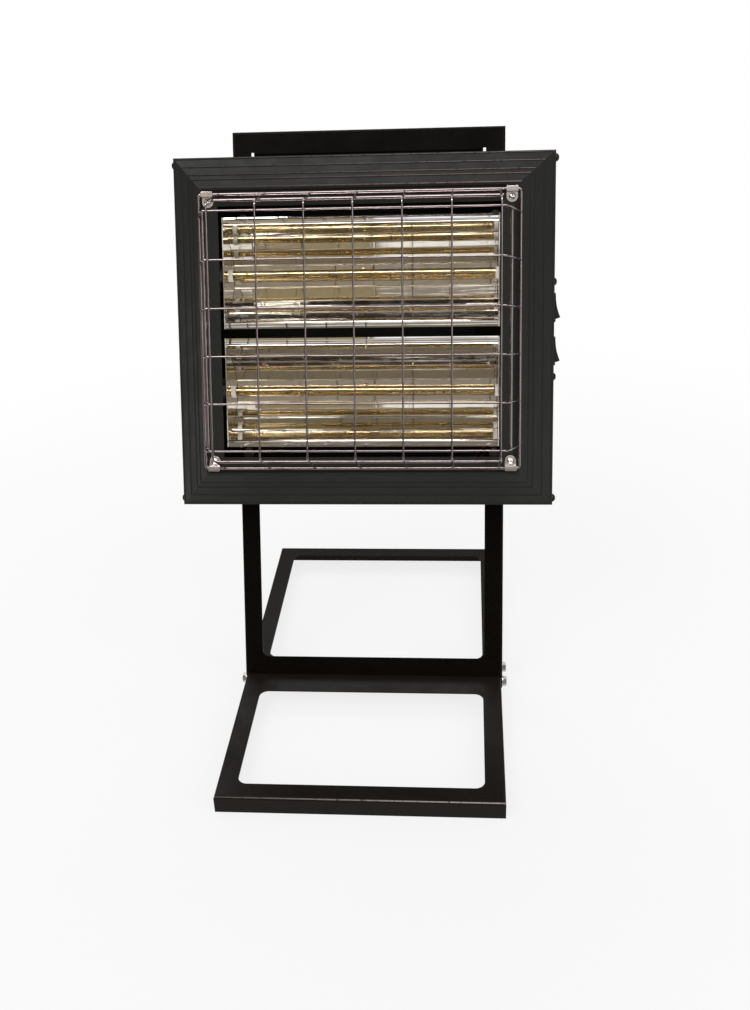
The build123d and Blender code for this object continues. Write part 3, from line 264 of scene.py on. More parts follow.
class HeaterSizes(bpy.types.PropertyGroup):
    """Sizes of the pieces built here."""

    coil_diameter: a_length("Coil diameter", "Outside of a filament's winding", 0.0030)
    coil_wire: a_length("Coil wire", "Wire of a filament's winding", 0.0007)
    coil_turns: a_count("Coil turns", "Turns of each filament", 170, 20)
    wire_sides: a_count("Wire sides", "Sides around each guard wire", 16, 6)
    weld_size: a_length("Weld size", "Length of the weld where two guard wires cross", 0.0026)
    recess_width: a_length("Recess width", "Span of the cross in a screw's head", 0.0042)
    casing_edge: a_length("Casing edge", "Rounding of the extrusions' edges", 0.0003)
    sheet_edge: a_length("Sheet edge", "Rounding of the cut edges of folded sheet", 0.0003)
    trough_bend: a_length("Trough bend", "Half width of the reflectors' bends", 0.0011)
    moulded_edge: a_length("Moulded edge", "Rounding of the switches' edges", 0.0004)
    gland_ribs: a_count("Gland ribs", "Grip ribs around the gland's cap", 18, 6)


class HeaterColours(bpy.types.PropertyGroup):
    """Colours of the finishes."""

    head_coat: a_colour("Head coat", "Powder coat of the casing", (0.0285, 0.0285, 0.0258))
    stand_coat: a_colour("Stand coat", "Powder coat of the upright", (0.0034, 0.0021, 0.0011))
    base_coat: a_colour("Base coat", "Powder coat of the base", (0.0110, 0.0082, 0.0064))
    # Painted shade: darker than real chrome, standing in for the dark surroundings the wires
    # reflect
    chrome: a_colour("Chrome", "Plated guard wires", (0.31, 0.265, 0.262))
    reflector: a_colour("Reflector", "Polished reflector sheet", (0.92, 0.905, 0.88))
    heat_tint: a_colour("Heat tint", "Straw tint of the sheet behind a lamp", (0.80, 0.68, 0.44))
    quartz: a_colour("Quartz", "Gold tint of the lamp tubes", (0.78, 0.67, 0.43))


class HeaterSettings(bpy.types.PropertyGroup):
    """All settings of the heater."""

    sizes: PointerProperty(type=HeaterSizes)
    colours: PointerProperty(type=HeaterColours)


# ---------- nodes and shader maths


class Graph:
    """Adds nodes to one node tree."""

    def __init__(self, tree):
        self.tree = tree

    def node(self, kind, settings=None, inputs=None):
        """A node with its settings made first and then its sockets."""
        node = self.tree.nodes.new(kind)
        for name, value in (settings or {}).items():
            setattr(node, name, value)
        for socket, value in (inputs or {}).items():
            target = node.inputs[socket]
            value = getattr(value, "socket", value)
            if isinstance(value, bpy.types.NodeSocket):
                self.tree.links.new(value, target)
            elif target.type == "GEOMETRY":
                for one in value:
                    self.tree.links.new(one, target)
            elif target.type == "RGBA" and len(value) == 3:
                target.default_value = (*value, 1.0)
            else:
                target.default_value = value
        return node

    def value(self, kind, settings=None, inputs=None, output=0):
        """The output of a new node, ready for maths."""
        return Value(self, self.node(kind, settings, inputs).outputs[output])

    def direct(self):
        """1 for camera, glossy and refracted rays, and 0 for diffuse light."""
        seen = self.node("ShaderNodeLightPath").outputs
        mirrored = Value(self, seen["Is Camera Ray"]).math("MAXIMUM", seen["Is Glossy Ray"])
        return mirrored.math("MAXIMUM", seen["Is Transmission Ray"])


class Value:
    """A shader number that Python's operators work on."""

    def __init__(self, graph, socket):
        self.graph = graph
        self.socket = socket

    def math(self, operation, *others, first=None):
        """This value and the others through one Math node."""
        values = ([first] if first is not None else []) + [self] + list(others)
        return self.graph.value("ShaderNodeMath", {"operation": operation}, dict(enumerate(values)))

    def __add__(self, other):
        return self.math("ADD", other)

    __radd__ = __add__

    def __sub__(self, other):
        return self.math("SUBTRACT", other)

    def __rsub__(self, other):
        return self.math("SUBTRACT", first=other)

    def __mul__(self, other):
        return self.math("MULTIPLY", other)

    __rmul__ = __mul__

    def __pow__(self, other):
        return self.math("POWER", other)

    def __abs__(self):
        return self.math("ABSOLUTE")

    def ramped(self, low, high, start=0.0, end=1.0):
        """Start below low, end above high, and smooth between them."""
        inputs = {"Value": self, 1: low, 2: high, 3: start, 4: end}
        return self.graph.value("ShaderNodeMapRange", {"interpolation_type": "SMOOTHSTEP"}, inputs)


def emptied(owner):
    """The node tree of a material or a world, with nothing in it."""
    owner.use_nodes = True
    owner.node_tree.nodes.clear()
    return owner.node_tree


class Finish(Graph):
    """A material with a Principled surface and patterns in Object coordinates."""

    def __init__(self, name, colour, metallic=0.0, roughness=0.5, **constants):
        self.material = bpy.data.materials.new(name)
        super().__init__(emptied(self.material))
        self.surface = self.node("ShaderNodeBsdfPrincipled", None, {
            "Base Color": colour, "Metallic": metallic, "Roughness": roughness, **constants,
        })
        self.output = self.node(
            "ShaderNodeOutputMaterial", None, {"Surface": self.surface.outputs[0]}
        )
        self.place = self.node("ShaderNodeTexCoord").outputs["Object"]

    def connect(self, socket, value):
        """Feeds one of the surface's sockets."""
        self.tree.links.new(getattr(value, "socket", value), self.surface.inputs[socket])

    def mapped(self, place=None, **inputs):
        """Coordinates through a Mapping node."""
        inputs["Vector"] = place or self.place
        return self.node("ShaderNodeMapping", None, inputs).outputs[0]

    def turned(self, matrix):
        """Object coordinates seen in another frame, in that frame's own units."""
        move, turn, grow = matrix.inverted().decompose()
        return self.mapped(Location=move, Rotation=turn.to_euler(), Scale=grow)

    def noise(self, scale, detail=2.0, rough=0.5, place=None):
        """Cloudy noise between 0 and 1."""
        return self.value("ShaderNodeTexNoise", None, {
            "Vector": place or self.place, "Scale": scale, "Detail": detail, "Roughness": rough,
        })

    def cells(self, scale, output):
        """Scattered points: distance to the nearest one, or its colour."""
        inputs = {"Vector": self.place, "Scale": scale}
        return self.value("ShaderNodeTexVoronoi", None, inputs, output)

    def mixed(self, factor, low, high):
        """One colour over another."""
        return self.value("ShaderNodeMix", {"data_type": "RGBA"}, {0: factor, 6: low, 7: high}, 2)

    def bump(self, height, strength, distance):
        """Relief of the surface."""
        inputs = {"Height": height, "Strength": strength, "Distance": distance}
        return self.node("ShaderNodeBump", None, inputs).outputs[0]

    def axes(self, place=None):
        """The three coordinates as numbers."""
        split = self.node("ShaderNodeSeparateXYZ", None, {0: place or self.place})
        return [Value(self, socket) for socket in split.outputs]


# ---------- meshes and objects


def added(name, data):
    """A new object in the scene."""
    thing = bpy.data.objects.new(name, data)
    bpy.context.scene.collection.objects.link(thing)
    return thing


def applied(holder):
    """The mesh that an object's modifiers make. The object itself goes."""
    depsgraph = bpy.context.evaluated_depsgraph_get()
    mesh = bpy.data.meshes.new_from_object(
        holder.evaluated_get(depsgraph), preserve_all_data_layers=True, depsgraph=depsgraph
    )
    bpy.data.objects.remove(holder)
    return mesh


def built(name, builder, coats):
    """The mesh that a builder holds, with its finishes."""
    mesh = bpy.data.meshes.new(name)
    builder.to_mesh(mesh)
    builder.free()
    for coat in coats:
        mesh.materials.append(coat)
    return mesh


def drawn(name, points, edges=()):
    """Points, and edges between some of them, for a recipe to work on."""
    mesh = bpy.data.meshes.new(name)
    mesh.from_pydata([tuple(point) for point in points], list(edges), [])
    return mesh


def joined(name, meshes):
    """One piece out of several meshes that share their finishes."""
    builder = bmesh.new()
    coats = []
    for mesh in meshes:
        start = len(builder.faces)
        builder.from_mesh(mesh)
        builder.faces.ensure_lookup_table()
        for coat in mesh.materials:
            if coat not in coats:
                coats.append(coat)
        for face in builder.faces[start:]:
            face.material_index = coats.index(mesh.materials[face.material_index])
    return added(name, built(name, builder, coats))


def places(count, pitch):
    """Evenly spaced places about zero."""
    return [(place - (count - 1) / 2) * pitch for place in range(count)]


def circle(radius, count, height=0.0):
    """Evenly spaced points around z."""
    turns = [2 * pi * n / count for n in range(count)]
    return [(radius * cos(turn), radius * sin(turn), height) for turn in turns]


def mirrored(x, y):
    """A point and its reflections in both middle lines of the head."""
    return [(a * x, b * y, 0.0) for a in SIDES for b in SIDES]


def lifted(height):
    """A move along z."""
    return Matrix.Translation((0.0, 0.0, height))


def wall(side, distance):
    """A side wall's own frame: z points out of it, x is the head's or the heater's y."""
    return Matrix(((0, 0, side, side * distance), (1, 0, 0, 0), (0, side, 0, 0), (0, 0, 0, 1)))


def fit(piece, slot, *nodes, body=BODY):
    """The piece rides on a body and stands for its nodes, which are hidden. The slot is not used.
    """
    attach(piece, body)
    if nodes:
        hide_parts(*nodes)


def finish(name):
    """A finish that the first operator made."""
    made = bpy.data.materials.get(name)
    if made is None:
        raise RuntimeError(f"no finish {name}: make the finishes first")
    return made


# ---------- geometry trees


class Recipe(Graph):
    """A geometry tree with named inputs, whose result becomes a plain mesh."""

    def __init__(self, name, inputs):
        super().__init__(bpy.data.node_groups.new(name, "GeometryNodeTree"))
        sockets = self.tree.interface
        sockets.new_socket("Geometry", in_out="INPUT", socket_type="NodeSocketGeometry")
        sockets.new_socket("Geometry", in_out="OUTPUT", socket_type="NodeSocketGeometry")
        self.identifiers = {}
        for label, kind in {**inputs, "Finish": "Material"}.items():
            made = sockets.new_socket(label, in_out="INPUT", socket_type="NodeSocket" + kind)
            self.identifiers[label] = made.identifier
        self.given = self.node("NodeGroupInput").outputs

    def made(self, kind, settings=None, **inputs):
        """The first output of a geometry node, whose sockets are named with underscores."""
        inputs = {name.replace("_", " "): value for name, value in inputs.items()}
        return self.node("GeometryNode" + kind, settings, inputs).outputs[0]

    def number(self, label):
        """One of the tree's inputs, ready for maths."""
        return Value(self, self.given[label])

    def moved(self, geometry, height):
        """Geometry raised along z."""
        return self.made("Transform", Geometry=geometry, Translation=self.vector(0.0, 0.0, height))

    def vector(self, x, y, z):
        """Three numbers as one vector."""
        return self.node("ShaderNodeCombineXYZ", None, {0: x, 1: y, 2: z}).outputs[0]

    def swept(self, curve, radius, sides):
        """A round wire along a curve."""
        ring = self.made("CurvePrimitiveCircle", Resolution=sides, Radius=radius)
        return self.made("CurveToMesh", Curve=curve, Profile_Curve=ring, Fill_Caps=True)

    def shank(self, vertices):
        """The shank of a screw or bolt, below its head."""
        length = self.number("Shank length")
        rod = self.made("MeshCylinder", Vertices=vertices, Radius=self.given["Shank radius"],
                        Depth=length)
        return self.moved(rod, length * -0.5)

    def end(self, points, instance, smooth=True, **inputs):
        """The instance at every point as real geometry in the finish, at the tree's output."""
        copies = self.made("InstanceOnPoints", Points=points, Instance=instance, **inputs)
        real = self.made("RealizeInstances", Geometry=copies)
        shaded = self.made("SetShadeSmooth", Geometry=real, Shade_Smooth=smooth)
        painted = self.made("SetMaterial", Geometry=shaded, Material=self.given["Finish"])
        self.node("NodeGroupOutput", None, {0: painted})

    def grow(self, source, values, place):
        """The tree's result on a source mesh, placed in the heater's frame."""
        holder = added(source.name, source)
        modifier = holder.modifiers.new("recipe", "NODES")
        modifier.node_group = self.tree
        for label, value in values.items():
            modifier[self.identifiers[label]] = value
        mesh = applied(holder)
        mesh.transform(place)
        return mesh


def bead_recipe():
    """A flattened bead at every loose point."""
    tree = Recipe("Beads", {"Size": "Vector"})
    bead = tree.made("MeshIcoSphere", Radius=0.5, Subdivisions=2)
    tree.end(tree.given["Geometry"], bead, Scale=tree.given["Size"])
    return tree


# ---------- finishes


def toned(colour, factor, lift=0.0):
    """A colour made darker or lighter, and no lighter than white."""
    return [min(1.0, part * factor + lift) for part in colour]


def powder_coat(name, colour, gloss, fleck, shine, frame_of=None, crests=(), bright=WHITE):
    """Baked powder coat: fine orange peel, metallic flecks and a trace of handling.

    The crests are lines along x, each at y and z of the frame given, that get a painted highlight
    in short runs, brighter towards the right.
    """
    coat = Finish(name, colour, roughness=gloss, **{"Specular IOR Level": shine})
    clouds = coat.noise(CLOUD_SCALE, 3.0)
    base = coat.mixed(clouds, toned(colour, 0.86), toned(colour, 1.16))
    specks = coat.cells(SPECK_SCALE, "Distance").ramped(0.30, 0.12)
    chosen = coat.noise(CHOICE_SCALE, 0.0).ramped(0.52, 0.60)
    lit = coat.mixed(specks * chosen * fleck, base, toned(colour, 4.0, 0.02))
    # painted highlights along the crests
    if crests:
        across, first, second = coat.axes(coat.turned(frame_of))
        painted_highlight = 0.0
        for one, other in crests:
            aside, beyond = first - one, second - other
            away = (aside * aside + beyond * beyond) ** 0.5
            painted_highlight = away.ramped(*CREST_EDGE, 1.0, 0.0) + painted_highlight
        runs = coat.noise(1.0, 3.0, 0.6, place=coat.mapped(Scale=RUN_SCALE)).ramped(0.28, 0.50)
        strength = painted_highlight * runs * across.ramped(*CREST_ENDS, FAINT_END, 1.0)
        lit = coat.mixed(strength, lit, bright)
    coat.connect("Base Color", lit)
    touched = coat.noise(TOUCH_SCALE, 4.0, 0.62)
    coat.connect("Roughness", touched.ramped(0.3, 0.7, gloss - 0.07, gloss + 0.09))
    coat.connect("Normal", coat.bump(coat.noise(PEEL_SCALE), 0.22, PEEL_DEPTH))


def plated(name, colour, roughness, smear, lines):
    """Plated or polished metal with faint smears and, if asked, fine drawn lines."""
    metal = Finish(name, colour, metallic=1.0, roughness=roughness)
    dull = metal.noise(SMEAR_SCALE, 4.0, 0.6)
    metal.connect("Base Color", metal.mixed(dull, toned(colour, 0.9), colour))
    metal.connect("Roughness", dull.ramped(0.25, 0.8, roughness, roughness + smear))
    if lines:
        metal.connect("Normal", metal.bump(metal.noise(LINE_SCALE), lines, LINE_DEPTH))


def reflector_sheet(name, colours):
    """Rolled and polished reflector sheet, straw-tinted by heat behind each lamp."""
    sheet = Finish(name, colours.reflector, metallic=1.0, roughness=0.07)
    head = sheet.turned(HEAD)
    across, up, depth = sheet.axes(head)
    # distance from the nearest lamp, in mm
    height = abs(abs(up) - TROUGHS["upper"])
    behind = depth - LAMP_DEPTH
    reach = (height * height + behind * behind) ** 0.5
    blotch = sheet.noise(BLOTCH_SCALE, 3.0, 0.6, place=head)
    warm = (reach + TINT_BLOTCH * (blotch - 0.5)).ramped(*TINT_REACH, TINT_STRENGTH, 0.0)
    tinted = sheet.mixed(warm, colours.reflector, colours.heat_tint)
    dusty = sheet.noise(DUST_SCALE, 5.0, 0.7, place=head).ramped(0.5, 0.75, 0.0, 0.15)
    sheet.connect("Base Color", sheet.mixed(dusty, tinted, DUST))
    rubbed = sheet.noise(RUB_SCALE, 4.0, place=head)
    sheet.connect("Roughness", rubbed.ramped(0.3, 0.8, 0.03, 0.09))
    # the rolls leave shallow waves along the sheet, and the press evenly spaced faint creases
    waves = sheet.noise(1.0, place=sheet.mapped(head, Scale=ROLL_SCALE))
    crease = (across + CREASE_START).math("PINGPONG", CREASE_SPACING / 2)
    relief = waves * 0.7 + crease.ramped(0.0, CREASE_WIDTH, 1.0, 0.0) * 0.35
    sheet.connect("Normal", sheet.bump(relief, 0.16, ROLL_DEPTH))


def gold_quartz(name, colour):
    """Clear quartz with a thin gold tint."""
    glass = Finish(name, colour, metallic=0.35, roughness=0.02, **{
        "IOR": 1.46, "Transmission Weight": 1.0, "Specular Tint": (1.0, 0.9, 0.7),
    })
    bloom = glass.noise(BLOOM_SCALE, 3.0)
    glass.connect("Metallic", bloom.ramped(0.3, 0.7, 0.28, 0.42))
    glass.connect("Base Color", glass.mixed(bloom, colour, toned(colour, 1.12)))


def plain(name, colour, metallic, roughness, grain_scale, grain, spread):
    """Moulded, fired or bare surface with a fine grain and a little uneven colour."""
    solid = Finish(name, colour, metallic=metallic, roughness=roughness)
    clouds = solid.noise(TONE_SCALE, 3.0)
    darker, lighter = toned(colour, 1.0 - spread), toned(colour, 1.0 + spread)
    solid.connect("Base Color", solid.mixed(clouds, darker, lighter))
    solid.connect("Roughness", clouds.ramped(0.2, 0.8, roughness - 0.05, roughness + 0.07))
    solid.connect("Normal", solid.bump(solid.noise(grain_scale), grain, GRAIN_DEPTH))


def spangled(name, colour):
    """Galvanised sheet with its crystals."""
    zinc = Finish(name, colour, metallic=1.0, roughness=0.36)
    crystals = zinc.cells(CRYSTAL_SCALE, "Color")
    tone = zinc.value("ShaderNodeSeparateColor", None, {"Color": crystals})
    zinc.connect("Base Color", zinc.mixed(tone, toned(colour, 0.8), colour))
    zinc.connect("Roughness", tone.ramped(0.0, 1.0, 0.28, 0.46))


class HEATER_OT_finishes(bpy.types.Operator):
    """Makes every finish and puts one on each CAD node"""

    bl_idname = "heater.finishes"
    bl_label = "Finishes"

    def execute(self, context):
        colours = context.scene.heater.colours
        # the top member gets a darker copy of the head's coat, as painted shade
        head, top = colours.head_coat, toned(colours.head_coat, TOP_PAINTED_SHADE)
        powder_coat("head coat", head, gloss=0.46, fleck=0.25, shine=0.04)
        powder_coat("top member coat", top, 0.46, 0.25, 0.03, HEAD, TOP_CRESTS, TOP_PAINTED_HIGHLIGHT)
        # the base's front bend gets a painted highlight
        powder_coat("base coat", colours.base_coat, 0.40, 0.9, 0.10, WORLD_MM, BASE_CRESTS,
                    BASE_PAINTED_HIGHLIGHT)
        powder_coat("stand coat", colours.stand_coat, 0.40, 0.9, 0.06)
        plated("chrome", colours.chrome, roughness=0.10, smear=0.10, lines=0.0)
        reflector_sheet("reflector sheet", colours)
        gold_quartz("gold quartz", colours.quartz)
        spangled("galvanised sheet", (0.68, 0.69, 0.70))
        for name, look in PLATED.items():
            plated(name, *look)
        for name, look in PLAIN.items():
            plain(name, *look)
        for name, nodes in NODE_FINISHES.items():
            for node in nodes:
                slots = frame["nodes"][node].data.materials
                slots.clear()
                slots.append(finish(name))
        return {"FINISHED"}


# ---------- sheet metal and mouldings


def softened(name, slot, node, width, low, high=ANY_ANGLE, steps=2, body=BODY):
    """A merged copy of a CAD node whose edges between two angles are rounded."""
    cad = frame["nodes"][node].data
    builder = bmesh.new()
    builder.from_mesh(cad)
    bmesh.ops.remove_doubles(builder, verts=builder.verts, dist=MERGE_GAP)
    bmesh.ops.dissolve_limit(
        builder, angle_limit=radians(FLAT_ANGLE), verts=builder.verts, edges=builder.edges
    )
    rounded = builder.edges.layers.float.new("bevel_weight_edge")
    for edge in builder.edges:
        if len(edge.link_faces) == 2 and low < degrees(edge.calc_face_angle()) < high:
            edge[rounded] = 1.0
    for face in builder.faces:
        face.smooth = True
    holder = added(name, built(name, builder, [cad.materials[0]]))
    bevel = holder.modifiers.new("edges", "BEVEL")
    bevel.limit_method = "WEIGHT"
    bevel.width = width
    bevel.segments = steps
    shading = holder.modifiers.new("shading", "WEIGHTED_NORMAL")
    shading.weight = 100
    made = applied(holder)
    fit(added(name, made), slot, node, body=body)


class HEATER_OT_edges(bpy.types.Operator):
    """Rounds the edges of the casing, the stand, the reflectors and the switches"""

    bl_idname = "heater.edges"
    bl_label = "Sheet and moulded edges"

    def execute(self, context):
        sizes = context.scene.heater.sizes
        sheet, moulded = sizes.sheet_edge, sizes.moulded_edge
        for side in ("top", "bottom", "left", "right"):
            softened(f"{side}_member", "head_paint", f"casing_{side}", sizes.casing_edge,
                     CASING_ANGLE)
        softened("base_sheet", "stand_paint", "base_frame", sheet, SHEET_ANGLE)
        softened("upright_sheet", "stand_paint", "upright_frame", sheet, SHEET_ANGLE)
        for name in TROUGHS:
            softened(f"{name}_trough", "reflector", f"{name}_reflector", sizes.trough_bend,
                     *BEND_ANGLES, BEND_SEGMENTS)
            softened(f"{name}_switch_bezel", "switch_black", f"{name}_switch_body", moulded,
                     MOULDED_ANGLE)
            softened(f"{name}_rocker_key", "switch_black", f"{name}_rocker", moulded,
                     MOULDED_ANGLE, body=f"{name}_rocker")
        softened("corner_clips", "chrome_wire", "guard_clips", sheet, SHEET_ANGLE)
        return {"FINISHED"}


# ---------- guard


def bent_path(front, rim, depth):
    """Half spans and depths of a guard wire, whose ends stop on the rim's surface."""
    corner, rim = Vector((front / 2, depth)), Vector((rim / 2, RIM_DEPTH))
    foot = rim + (corner - rim).normalized() * (RIM_WIRE / 2)
    return [(-foot.x, foot.y), (-corner.x, corner.y), (corner.x, corner.y), (foot.x, foot.y)]


def wire_recipe():
    """A bent wire, repeated along one direction."""
    tree = Recipe("Parallel wires", {
        "Wire radius": "Float", "Bend radius": "Float", "Sides": "Int", "Count": "Int",
        "Step": "Vector",
    })
    given = tree.given
    curve = tree.made("MeshToCurve", Mesh=given["Geometry"])
    bent = tree.made("FilletCurve", {"mode": "POLY"}, Curve=curve, Radius=given["Bend radius"],
                     Count=BEND_STEPS)
    wire = tree.swept(bent, given["Wire radius"], given["Sides"])
    line = tree.made("MeshLine", Count=given["Count"], Offset=given["Step"])
    tree.end(line, wire)
    return tree


class HEATER_OT_guard(bpy.types.Operator):
    """Bends and welds the wires of the guard"""

    bl_idname = "heater.guard"
    bl_label = "Wire guard"

    def execute(self, context):
        sizes = context.scene.heater.sizes
        recipe = wire_recipe()
        chrome = finish("chrome")

        def wires(name, path, wire, bend, count=1, step=(0.0, 0.0, 0.0), closed=False):
            edges = [(n, n + 1) for n in range(len(path) - 1)]
            if closed:
                edges.append((len(path) - 1, 0))
            return recipe.grow(drawn(name, path, edges), {
                "Wire radius": wire / 2, "Bend radius": bend, "Sides": sizes.wire_sides,
                "Count": count, "Step": step, "Finish": chrome,
            }, HEAD)

        columns, rows = places(COLUMNS, COLUMN_PITCH), places(ROWS, ROW_PITCH)
        row = bent_path(FRONT_WIDTH, RIM_WIDTH, ROW_DEPTH)
        column = bent_path(FRONT_HEIGHT, RIM_HEIGHT, COLUMN_DEPTH)
        half_width, half_height = RIM_WIDTH / 2, RIM_HEIGHT / 2
        meshes = [
            wires("rows", [(x, rows[0], z) for x, z in row], WIRE, WIRE_BEND,
                  ROWS, (0.0, ROW_PITCH, 0.0)),
            wires("columns", [(columns[0], y, z) for y, z in column], WIRE, WIRE_BEND,
                  COLUMNS, (COLUMN_PITCH, 0.0, 0.0)),
            wires("rim", [(a * half_width, b * half_height, RIM_DEPTH) for a, b in CORNERS],
                  RIM_WIRE, RIM_BEND, closed=True),
            wires("rods across", [(a * ROD_HALF_WIDTH, -ROD_END, ROD_DEPTH) for a in SIDES],
                  RIM_WIRE, 0.0, 2, (0.0, 2 * ROD_END, 0.0)),
            wires("rods up", [(-ROD_SIDE, a * ROD_HALF_HEIGHT, ROD_DEPTH) for a in SIDES],
                  RIM_WIRE, 0.0, 2, (2 * ROD_SIDE, 0.0, 0.0)),
        ]
        crossing = (ROW_DEPTH + COLUMN_DEPTH) / 2
        outward = RIM_WIRE / 2
        welds = [(x, y, crossing) for x in columns for y in rows]
        for depth, high, wide in (
            (RIM_DEPTH + outward, half_height, half_width),
            (ROD_DEPTH, ROD_END + outward, ROD_SIDE + outward),
        ):
            welds += [(x, a * high, depth) for x in columns for a in SIDES]
            welds += [(a * wide, y, depth) for y in rows for a in SIDES]
        bead = sizes.weld_size / MM
        meshes.append(bead_recipe().grow(drawn("welds", welds), {
            "Size": (bead, bead, WELD_FLATNESS * bead), "Finish": chrome,
        }, HEAD))
        fit(joined("guard_basket", meshes), "chrome_wire", "guard_row_wires",
            "guard_column_wires", "guard_rim", "guard_rods")
        return {"FINISHED"}


# ---------- lamps


def coil_recipe():
    """A wound filament along z, from its one loose point."""
    tree = Recipe("Coil", {
        "Coil radius": "Float", "Wire radius": "Float", "Turns": "Float", "Length": "Float",
    })
    given = tree.given
    radius = given["Coil radius"]
    spiral = tree.made("CurveSpiral", Resolution=12, Rotations=given["Turns"],
                       Start_Radius=radius, End_Radius=radius, Height=given["Length"])
    tree.end(given["Geometry"], tree.swept(spiral, given["Wire radius"], 6))
    return tree


def lathe(name, profile, sides, place, coat):
    """A turned shape about z. The profile is radius and height, and starts and ends on z."""
    builder = bmesh.new()
    rings = [
        [builder.verts.new(point) for point in circle(radius, sides if radius else 1, height)]
        for radius, height in profile
    ]
    for low, high in zip(rings, rings[1:]):
        for n in range(sides):
            corners = [ring[at % len(ring)] for ring, at in (
                (low, n), (low, n + 1), (high, n + 1), (high, n))]
            builder.faces.new(list(dict.fromkeys(corners)))
    bmesh.ops.recalc_face_normals(builder, faces=builder.faces)
    for face in builder.faces:
        face.smooth = True
    mesh = built(name, builder, [coat])
    mesh.transform(place)
    return mesh


class HEATER_OT_lamps(bpy.types.Operator):
    """Winds the filaments and closes the tubes with their tips"""

    bl_idname = "heater.lamps"
    bl_label = "Lamps"

    def execute(self, context):
        sizes = context.scene.heater.sizes
        tungsten = finish("tungsten")
        coils, beads = coil_recipe(), bead_recipe()
        length = 2 * (TUBE_HALF - COIL_MARGIN)
        disc = TUBE - 2 * TUBE_WALL - DISC_PLAY
        tail = [(0.0, 0.0), (TAIL, 0.0), (TAIL, COIL_MARGIN), (0.0, COIL_MARGIN)]
        supports = [(0.0, 0.0, length / 2 + place) for place in places(SUPPORTS, SUPPORT_PITCH)]
        for name, height in TROUGHS.items():
            middle = HEAD @ Matrix.Translation((0.0, height, LAMP_DEPTH))
            along = middle @ Matrix.Rotation(pi / 2, 4, "Y")
            start = along @ lifted(-length / 2)
            discs = beads.grow(drawn("discs", supports), {
                "Size": (disc, disc, DISC_THICKNESS), "Finish": finish("support metal"),
            }, start)
            coil = coils.grow(drawn("coil", [(0.0, 0.0, 0.0)]), {
                "Coil radius": (sizes.coil_diameter - sizes.coil_wire) / 2 / MM,
                "Wire radius": sizes.coil_wire / 2 / MM, "Turns": float(sizes.coil_turns),
                "Length": length, "Finish": tungsten,
            }, start)
            tails = [
                lathe("tail", tail, TAIL_SIDES, along @ lifted(end), tungsten)
                for end in (-TUBE_HALF, length / 2)
            ]
            piece = joined(f"{name}_lamp_coil", [coil, discs, *tails])
            fit(piece, "filament", f"{name}_filament")
            seat = middle @ Matrix.Rotation(-pi / 2, 4, "X") @ lifted(TUBE / 2 - TIP_SINK)
            tip = lathe("tip", TIP_PROFILE, TIP_SIDES, seat, finish("gold quartz"))
            fit(joined(f"{name}_lamp_tip", [tip]), "quartz")
        return {"FINISHED"}


# ---------- fasteners and gland


def screw_recipe():
    """A domed screw with a cross recess, at every loose point."""
    tree = Recipe("Screws", {
        "Head radius": "Float", "Head height": "Float", "Shank radius": "Float",
        "Shank length": "Float", "Recess": "Float",
    })
    radius, height = tree.number("Head radius"), tree.number("Head height")
    recess = tree.number("Recess")

    def block(x, y, z, raised):
        cube = tree.made("MeshCube", Size=tree.vector(x, y, z))
        return tree.moved(cube, raised)

    ball = tree.made("MeshUVSphere", Segments=32, Rings=24, Radius=1.0)
    dome = tree.made("Transform", Geometry=ball, Scale=tree.vector(radius, radius, height))
    # the lower half goes, with a block wider than the head
    wide = radius * 2.4
    below = block(wide, wide, height * 2.0, height * -1.0)
    thin, depth = recess * SLOT_WIDTH, height * SLOT_DEPTH
    slots = [block(x, y, depth, height) for x, y in ((recess, thin), (thin, recess))]
    head = tree.made("MeshBoolean", {"operation": "DIFFERENCE", "solver": "EXACT"},
                     Mesh_1=dome, Mesh_2=(below, *slots))
    whole = tree.made("JoinGeometry", Geometry=(head, tree.shank(20)))
    tree.end(tree.given["Geometry"], whole)
    return tree


def hex_recipe():
    """A hexagon bolt with chamfered corners, at every loose point."""
    tree = Recipe("Hexagon bolts", {
        "Across flats": "Float", "Head height": "Float", "Shank radius": "Float",
        "Shank length": "Float",
    })
    flats, height = tree.number("Across flats"), tree.number("Head height")
    prism = tree.made("MeshCylinder", Vertices=6, Radius=flats.math("DIVIDE", sqrt(3)),
                      Depth=height)
    top = flats * CHAMFER_TOP
    cone = tree.made("MeshCone", Vertices=48, Radius_Top=top,
                     Radius_Bottom=height * CHAMFER_SPREAD + top, Depth=height)
    head = tree.made("MeshBoolean", {"operation": "INTERSECT", "solver": "EXACT"},
                     Mesh_2=(tree.moved(prism, height * 0.5), cone))
    whole = tree.made("JoinGeometry", Geometry=(head, tree.shank(24)))
    tree.end(tree.given["Geometry"], whole, smooth=False)
    return tree


class HEATER_OT_bolts(bpy.types.Operator):
    """Turns the hexagon bolts of the stand and of the head's mounting"""

    bl_idname = "heater.bolts"
    bl_label = "Hexagon bolts"

    def execute(self, context):
        recipe = hex_recipe()
        (flats, height), (radius, length) = HEX, HEX_SHANK

        def bolts(name, points, place):
            return recipe.grow(drawn(name, points), {
                "Across flats": flats, "Head height": height, "Shank radius": radius,
                "Shank length": length, "Finish": finish("zinc plate"),
            }, place)

        sides = [
            bolts("side", [(y, side * z, 0.0) for y, z in STAND_BOLTS],
                  WORLD_MM @ wall(side, STAND_SEAT)) for side in SIDES
        ]
        fit(joined("stand_hex_bolts", sides), "zinc", "stand_bolts")
        behind = HEAD @ lifted(MOUNT_SEAT) @ REARWARD
        mounts = bolts("mounts", [(-x, y, 0.0) for x, y in MOUNT_BOLTS], behind)
        fit(joined("mounting_hex_bolts", [mounts]), "zinc", "head_mount_bolts")
        return {"FINISHED"}


